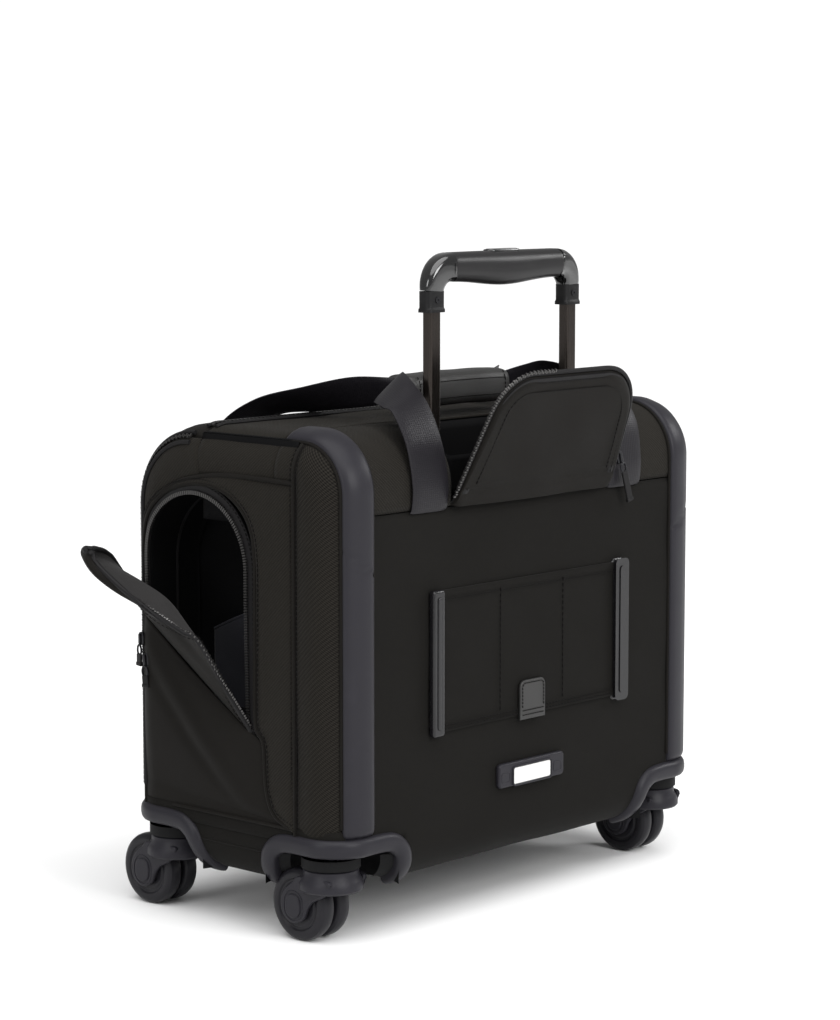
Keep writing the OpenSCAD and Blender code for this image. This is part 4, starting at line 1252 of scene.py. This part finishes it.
def well():
    """Black lining of the handle's well, with collars where the posts come out."""
    make = Making()
    ring = soft_box(176, 45, 6, 6)
    ring = spread(np.vstack([ring, ring[:1]]), 161)[:-1]
    x, y = ring[:, 0], ring[:, 1] + 79.0
    crest = np.where(y < 66, TOP_Z, 326 + np.sqrt(np.maximum(42.0 ** 2 - (y - 66) ** 2, 0))) - 2.0
    v = np.linspace(0, 1, 8)[:, None]
    wall = np.stack(np.broadcast_arrays(x[None], y[None], crest[None] * (1 - v) + WELL_FLOOR * v), -1)
    make.grid(wall, None, 0, round_columns=True)
    t = np.linspace(1, 0.02, 10)[:, None]
    floor = np.stack([x[None] * t, 79 + (y[None] - 79) * t, np.broadcast_to(WELL_FLOOR, (10, len(x)))], -1)
    make.grid(floor, None, 0, round_columns=True)
    for side in (-1, 1):
        hole = soft_box(20.6, 17.6, 4)
        outer = soft_box(28, 24, 6)
        for shape_low, shape_high, z0, z1 in ((outer, outer, WELL_FLOOR, COLLAR_TOP),
                                              (hole, outer, COLLAR_TOP, COLLAR_TOP)):
            ring_low = np.column_stack([shape_low + np.array([side * POST_X, POST_Y]),
                                        np.full(len(outer), z0)])
            ring_high = np.column_stack([shape_high + np.array([side * POST_X, POST_Y]),
                                         np.full(len(outer), z1)])
            make.grid(np.stack([ring_low, ring_high]), None, 1, round_columns=True, flip=z0 != z1)
    piece = make.put("well_lining", [LINING, BLACK_PLASTIC], "case", ("handle_well",), thick=0.8)


# ---- back flap, strap panel and plate ----

def flap_place(x, s, out):
    """Point of the back flap: x across, s up its length and out of its outer face."""
    c, k = math.cos(BACK_FLAP_LEAN), math.sin(BACK_FLAP_LEAN)
    bow = 3.0 * np.sin(math.pi * np.clip(s / 92, 0, 1)) * (1 - (x / 100) ** 2) * 0 + out
    return np.stack([x + 0 * s, BACK_Y + 2.2 + s * k + bow * c, SEAM_Z + 2 + s * c - bow * k], -1)


def flap_outline(grow=0.0, count=120):
    """Outline of the back flap from its bottom left corner, up, over and down, as (x, s)."""
    line = np.vstack([[(-90 - grow, 0)], arc(FLAP_FAR_R - 81, FLAP_LEN - FLAP_FAR_R, FLAP_FAR_R + grow, 172,
                                             90, 18),
                      arc(81 - FLAP_R, FLAP_LEN - FLAP_R, FLAP_R + grow, 90, 8, 16), [(90 + grow, 0)]])
    return spread(line, count)


def back_flap():
    """Padded flap behind the handle's well, with taped edges, zip teeth down one side and piping along
    its top."""
    make = Making()
    n, m = 100, 34
    line = flap_outline(0, n)
    u = np.linspace(-1, 1, n)
    base = np.stack([u * 90, np.zeros(n)], -1)
    v = np.linspace(0, 1, m)[None, :, None]
    flat = base[:, None] + (line - base)[:, None] * v
    x, s = flat[..., 0], flat[..., 1]
    near = 1 - np.clip(np.linspace(0, 1, m)[None, :] * 1.0, 0, 1)
    edge = np.clip(near * FLAP_LEN / 9, 0, 1)
    side = np.clip((1 - np.abs(np.linspace(-1, 1, n))[:, None]) * 90 / 8, 0, 1)
    full = np.sqrt(np.clip(1 - (1 - np.minimum(edge, side)) ** 2, 0, 1))
    puff = full * (4.2 + ripple(x, s, 0.9, 0.9)) + 0.4
    fold = -1.0 * np.exp(-((s - 14 + x * 0.02) / 2.4) ** 2)
    chart = np.stack([x, s], -1) * MM
    make.grid(flap_place(x, s, puff + fold), chart, 0, flip=False)
    make.grid(flap_place(x, s, -0.6 - 0.8 * full + 0 * x), chart, 1, flip=True)
    rim = np.stack([flap_place(x[:, -1], s[:, -1], puff[:, -1]),
                    flap_place(x[:, -1], s[:, -1], np.full(n, -0.6))], 1)
    make.grid(rim, None, 1, flip=False)
    c, k = math.cos(BACK_FLAP_LEAN), math.sin(BACK_FLAP_LEAN)
    face = np.array([0, c, -k])
    outer = flap_outline(1.4, n)
    border = flap_place(outer[:, 0], outer[:, 1], np.full(n, 1.0))
    piping(make, border[4:-4], face, 1, 1.7)
    inner = flap_outline(-5.0, n)
    path = flap_place(inner[:, 0], inner[:, 1], np.full(n, 2.6))
    tape = np.array([(-3.2, -1.6), (3.2, -1.6), (3.2, 0.9), (2.4, 1.2), (-2.4, 1.2), (-3.2, 0.9)])
    make.tube(path[3:-3], tape, np.broadcast_to(face, path[3:-3].shape), 1)
    stitches(make, path[4:-4] + face * 1.0, face, 3)
    sewn = flap_outline(-12.0, n)
    stitches(make, flap_place(sewn[:, 0], sewn[:, 1], np.full(n, 4.6))[6:-6], face, 3)
    half = flap_outline(2.9, n)
    zip_line = flap_place(half[:, 0], half[:, 1], np.full(n, 1.4))
    zip_teeth(make, zip_line[-44:-2], face, 2, reach=1.1)
    piece = make.put("back_flap_pad", [SMOOTH_CLOTH, TAPE, TEETH, THREAD], None,
                     ("back_flap_lower", "back_flap_upper"))
    tuple(flap_place(np.array(0.), np.array(36.), 0) * MM)
    tuple(flap_place(np.array(0.), np.array(54.), 0) * MM)
    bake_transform(piece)


def back_trim():
    """Wide band sewn across the back with its moulded edge bars, the stitched tab and the label plate."""
    out = np.array([0, 1.0, 0])
    make = Making()
    x, z = np.meshgrid(np.linspace(-100, 100, 90), np.linspace(145, 250, 50), indexing="ij")
    hem = 0.8 * (np.abs(z - 247.5) < 2.5) + 0.8 * (np.abs(z - 148) < 2.5)
    y = BACK_Y + 1.8 + ripple(x, z, 0.6, 0.5) + hem
    surface = np.stack([x, y, z], -1)
    make.grid(surface, np.stack([z, x], -1) * MM, 0, flip=False)
    for rows in (surface[:, 0], surface[:, -1]):
        down = np.stack([rows, rows * np.array([1, 0, 1]) + np.array([0, BACK_Y - 1.0, 0])], 1)
        make.grid(down, None, 0, flip=rows is surface[:, 0])
    for level in (147.4, 150.2, 243.5):
        path = np.stack([np.linspace(-98, 98, 60), np.full(60, BACK_Y + 3.0), np.full(60, level)], -1)
        stitches(make, path, out, 1)
    for place in (-38.0, 35.0):
        path = np.stack([np.full(60, place), np.full(60, BACK_Y + 2.4), np.linspace(152, 246, 60)], -1)
        stitches(make, path, out, 1, pitch=4.4, long=2.8, wide=0.8)
    sheet = make.put("back_band", [BACK_CLOTH, THREAD], "case", ("strap_panel",))

    make = Making()
    for side in (-1, 1):
        origin = (side * 106.5, BACK_Y + 0.3, 0)
        foot = soft_box(12.6, 108, 2.4, 4) + np.array([0, 197.0])
        make.plate(foot[::side], 0, 5.6, 1.8, (origin, (side, 0, 0), (0, 0, 1), (0, 1, 0)), 0)
        ridge = soft_box(4.4, 98, 2.0, 4) + np.array([0, 197.0])
        make.plate(ridge[::side], 5.0, 6.4, 1.0, (origin, (side, 0, 0), (0, 0, 1), (0, 1, 0)), 0)
    make.put("band_bars", [BAR_PLASTIC], "case", ("strap_panel_bars",))

    make = Making()
    tab = np.vstack([[(-14.5, 142)], [(14.5, 142)], arc(9.0, 166.5, 5.5, 0, 90, 8),
                     arc(-9.0, 166.5, 5.5, 90, 180, 8)])
    axes = ((0, BACK_Y + 2.4, 0), (1, 0, 0), (0, 0, 1), (0, 1, 0))
    make.plate(tab, 0, 2.6, 0.9, axes, 0)
    for level in (145.6, 149.0):
        path = np.stack([np.linspace(-12.5, 12.5, 20), np.full(20, BACK_Y + 5.0), np.full(20, level)], -1)
        stitches(make, path, out, 1, pitch=2.6, long=1.8)
    rim = spread(np.vstack([[(-12.3, 151)], arc(-9.0, 166.5, 3.3, 180, 90, 8), arc(9.0, 166.5, 3.3, 90, 0, 8),
                            [(12.3, 151)]]), 60)
    stitches(make, np.stack([rim[:, 0], np.full(60, BACK_Y + 5.0), rim[:, 1]], -1), out, 1, pitch=2.6,
             long=1.7)
    make.put("back_tab", [LEATHER, THREAD], "case", ("snap_tab",))

    make = Making()
    plate = soft_box(76, 18.5, 3.4, 5) + np.array([0, 102.0])
    make.plate(plate, 0, 4.2, 1.6, ((0, BACK_Y + 0.2, 0), (1, 0, 0), (0, 0, 1), (0, 1, 0)), 0)
    rim = soft_box(45, 14.2, 2.4, 5)
    level = BACK_Y + 4.5
    ring = np.stack([rim[:, 0], np.full(len(rim), level + 0.2), rim[:, 1] + 100.5], -1)
    piping(make, ring, out, 0, 0.9, closed=True)
    window = soft_box(43, 12.4, 1.6, 5) + np.array([0, 100.5])
    make.plate(window, 3.6, 4.3, 0.2, ((0, BACK_Y + 0.2, 0), (1, 0, 0), (0, 0, 1), (0, 1, 0)), 1)
    for x0, x1, z0, z1 in ((-34.5, -25.5, 97, 104), (26, 35, 97, 104)):
        dent = soft_box(x1 - x0, z1 - z0, 1.4, 3) + np.array([(x0 + x1) / 2, (z0 + z1) / 2])
        ringed = np.stack([dent[:, 0], np.full(len(dent), level - 0.3), dent[:, 1]], -1)
        piping(make, ringed, out, 0, 0.5, closed=True)
    make.put("label_plate", [SLATE, CARD], "case", ("id_plate", "id_card"))


# ---- carry handle ----

BACK_STRAP = [(113, 107.6, 309), (113, 109.6, 313), (113, 110.4, 330), (114, 105, 358), (112, 90, 382),
              (109, 75, 391), (97, 55, 395), (78, 42, 391), (56.4, 31, 387)]
BACK_WIDTH = [(38, 0, 0), (38, 0, 0), (38, 0, 0), (38, 0, 0), (38, 0, -4), (35, 3, -16), (32, 0, -20),
              (18, -4, -22), (0, -4, -20)]
FRONT_STRAP = [(113, -109.5, 308), (113, -107, 330), (110, -92, 356), (104, -64, 374), (93, -30, 381),
               (78, 2, 387),
               (56.4, 21, 388)]
FRONT_WIDTH = [(38, 0, 0), (38, 0, 0), (36, 2, 10), (32, 6, 14), (26, 8, 20), (14, 6, 24), (0, 2, 20)]


def strap(path, widths, side, finishes, name, body, node):
    """Ribbed webbing along a path, with a width vector at each point and thinner edges."""
    make = Making()
    both = curve(np.hstack([np.array(path, float), np.array(widths, float)]), 2.0)
    line, wide = both[:, :3], both[:, 3:] / 2
    hand = np.array([side, 1, 1.0])
    way = np.gradient(line, axis=0)
    out = np.cross(way, wide)
    out /= -np.linalg.norm(out, axis=1)[:, None]
    t = np.linspace(-1, 1, 15)
    thick = 1.25 * (1 - 0.75 * np.abs(t) ** 6)
    upper = line[:, None] + wide[:, None] * t[None, :, None] + out[:, None] * thick[None, :, None]
    lower = line[:, None] + wide[:, None] * t[None, :, None] - out[:, None] * thick[None, :, None]
    ring = np.concatenate([upper, lower[:, ::-1]], 1) * hand
    length = np.concatenate([[0], np.cumsum(np.linalg.norm(np.diff(line, axis=0), axis=1))])
    girth = np.concatenate([t * 19, t[::-1] * 19 + 38])
    chart = np.stack(np.broadcast_arrays(length[:, None], girth[None]), -1) * MM
    make.grid(ring, chart, 0, round_columns=True, flip=side < 0)
    make.cap(ring[0], 0, flip=side > 0)
    make.cap(ring[-1], 0, flip=side < 0)
    make.put(name, finishes, body, (node,) if side > 0 else ())


def carry_handle():
    """Four webbing straps meeting at a padded wrap in two halves."""
    for side, hand in ((1, "left"), (-1, "right")):
        strap(BACK_STRAP, BACK_WIDTH, side, [WEBBING, THREAD], "back_webbing_" + hand, "case",
              "carry_strap_back")
        strap(FRONT_STRAP, FRONT_WIDTH, side, [WEBBING, THREAD], "front_webbing_" + hand, "lid",
              "carry_strap_front")
    for side, name, body in ((1, "back", "case"), (-1, "front", "lid")):
        make = Making()
        n = 70
        x = np.linspace(-56.5, 56.5, n)
        line = np.stack([x, np.full(n, 27.0), 387.0 + 0.9 * np.cos(x / 36)], -1)
        a = np.linspace(0, 2 * math.pi, 44, endpoint=False)
        p = 3.4
        round_y = 15.6 * np.sign(np.cos(a)) * np.abs(np.cos(a)) ** (2 / p)
        round_z = 13.0 * np.sign(np.sin(a)) * np.abs(np.sin(a)) ** (2 / p)
        half = np.maximum(round_y * side, 0.25) * side
        shape = np.stack([half, round_z], -1)
        end = np.clip((56.5 - np.abs(x)) / 5, 0, 1)
        grow = 0.80 + 0.20 * np.sqrt(1 - (1 - end) ** 2) + 0.012 * np.sin(x / 7.0)
        rings = np.stack(np.broadcast_arrays(x[:, None], 27.0 + shape[None, :, 0] * grow[:, None],
                                             line[:, 2:] + shape[None, :, 1] * grow[:, None]), -1)
        make.grid(rings, np.stack(np.broadcast_arrays(x[:, None], a[None] * 13), -1) * MM, 0,
                  round_columns=True,
                  flip=False)
        make.cap(rings[0], 0)
        make.cap(rings[-1], 0, flip=True)
        for z, y in ((6.4, 15.3), (-6.4, 15.3)):
            seam = np.stack([x[4:-4], np.full(n - 8, 27.0 + side * y), line[4:-4, 2] + z], -1)
            stitches(make, seam, np.array([0, side * 1.0, 0]), 1, pitch=3.4, long=2.2)
        for place in (-49, 49):
            turn = np.linspace(-1.1, 1.1, 30)
            seam = np.stack([np.full(30, float(place)), 27.0 + side * 15.6 * np.cos(turn) ** 0.35,
                             387.4 + 13.0 * np.sin(turn)], -1)
            stitches(make, seam, np.array([0, side * 1.0, 0]), 1, pitch=3.0, long=2.0)
        piece = make.put("wrap_pad_" + name, [LEATHER, THREAD], body, ("carry_wrap_" + name,))


# ---- zip pulls and inside ----

def pull(make, origin, out, down, long=24.0, finish=0):
    """A slider on the chain with a ring and a webbing tab hanging from it."""
    origin, out, down = (np.asarray(a, float) for a in (origin, out, down))
    side = np.cross(out, down)
    axes = (origin, side, -down, out)
    hand = 1 if np.dot(np.cross(side, -down), out) > 0 else -1
    body = (soft_box(7.0, 10.0, 2.4, 4))[::hand]
    make.plate(body, 0.2, 3.4, 1.0, axes, finish)
    bridge = (soft_box(2.4, 8.0, 1.0, 3))[::hand]
    make.plate(bridge, 3.0, 4.8, 0.7, axes, finish)
    a = np.linspace(0, 2 * math.pi, 30, endpoint=False)[:, None]
    loop = origin + down * (8.5 + 4.0 * np.cos(a)) + side * 2.9 * np.sin(a) + out * 4.2
    make.tube(loop, disc(0.8, 8), np.broadcast_to(out, loop.shape), finish, closed=True)
    tab = (soft_box(6.4, long, 1.4, 4) + np.array([0, -(11.0 + long / 2)]))[::hand]
    make.plate(tab, 3.4, 5.2, 0.7, axes, 1)
    bar = (soft_box(7.4, 3.0, 0.8, 3) + np.array([0, -(11.0 + long)]))[::hand]
    make.plate(bar, 3.0, 5.6, 0.8, axes, 1)


def pulls():
    """Zip pulls: four on the case and two on the lid's pocket."""
    make = Making()
    pull(make, (HALF_W - 3, -94.5, 205), (1, -0.3, 0), (0, 0, -1), long=8.0)
    pull(make, (HALF_W - 0.5, POCKET_Y - POCKET_R + 4, 190), (1, 0, 0), (0, 0.1, -1), long=8.0)
    pull(make, (-HALF_W - 7.5, 74, 192), (-1, 0, 0), (0, 0, -1))
    pull(make, (-101, BACK_Y + 4, 332), (0, 1, 0), (-0.3, 0, -0.95))
    make.put("case_sliders", [DARK_METAL, TAPE], "case", ("case_zip_pulls",))
    make = Making()
    for side in (-1, 1):
        pull(make, (side * 40, FRONT_Y - 17.2, 265), (0, -1, 0), (0, 0, -1))
    make.put("lid_sliders", [DARK_METAL, TAPE], "lid", ("front_zip_pulls",))


def main_lining():
    """Lining of the main compartment: ceiling, floor, the upper part of the back and the walls above
    the pockets."""
    make = Making()
    x, y = np.meshgrid(np.linspace(-200, 200, 60), np.linspace(-34, 54, 16), indexing="ij")
    make.grid(np.stack([x, y, TOP_Z - 5 - ripple(x, y, 0.5, 0.6) ** 2], -1), np.stack([x, y], -1) * MM, 0)
    x, y = np.meshgrid(np.linspace(-200, 200, 60), np.linspace(-98, 54, 24), indexing="ij")
    make.grid(np.stack([x, y, 67 + ripple(x, y, 0.4, 0.5) ** 2], -1), np.stack([x, y], -1) * MM, 0)
    x, z = np.meshgrid(np.linspace(-200, 200, 60), np.linspace(285, TOP_Z - 4.5, 12), indexing="ij")
    make.grid(np.stack([x, np.full_like(x, 54.6), z], -1), np.stack([x, z], -1) * MM, 0)
    y, z = np.meshgrid(np.linspace(-34, 64, 20), np.linspace(300, TOP_Z - 5, 12), indexing="ij")
    for side in (-1, 1):
        make.grid(np.stack([np.full_like(y, side * 200.0), y, z], -1), np.stack([y, z], -1) * MM, 0)
    piece = make.put("main_lining", [LINING], "case", thick=0.8)


def sleeve():
    """Open laptop sleeve inside: a soft tray of lining cloth on the board."""
    make = Making()
    x, z = np.meshgrid(np.linspace(-165, 165, 50), np.linspace(71, 289, 40), indexing="ij")
    edge = np.minimum(np.minimum(x + 165, 165 - x), z - 71)
    y = 24.8 + 27.0 * (1 - np.clip(edge / 14, 0, 1)) ** 2 + ripple(x, z, 0.8, 1.5) * np.clip(edge / 40, 0, 1)
    front = np.stack([x, y, z], -1)
    make.grid(front, np.stack([x, z], -1) * MM, 0)
    back = np.stack([x, np.full_like(x, 52.6), z], -1)
    make.grid(back, np.stack([x, z], -1) * MM, 0)
    piping(make, front[:, -1], np.array([0, 0, 1.0]), 1, 1.6)
    piece = make.put("sleeve_lining", [GREY_LINING, TAPE], "case", ("laptop_sleeve",),
                     thick=1.2)


def cad_finishes():
    """Finishes of the CAD parts that show as they are."""
    chosen = {"outer_tubes": STEEL, "stage_one_tubes": TUBE, "stage_two_tubes": TUBE, "inner_tubes": TUBE,
              "handle_foot_block": BLACK_PLASTIC, "rear_board": BLACK_PLASTIC, "grip_screws": DARK_METAL}
    for name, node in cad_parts.items():
        finish = STEEL if name.startswith("axle") else chosen.get(name)
        if finish is not None:
            node.data.materials.clear()
            node.data.materials.append(finish)


set_stage()
cloth_panels()
side_cloth()
pocket_front()
pocket_lining()
side_flap()
mouth_trim()
lid_cloth()
right_pocket()
rails()
corners()
casters()
grip()
well()
back_flap()
back_trim()
carry_handle()
pulls()
main_lining()
sleeve()
cad_finishes()
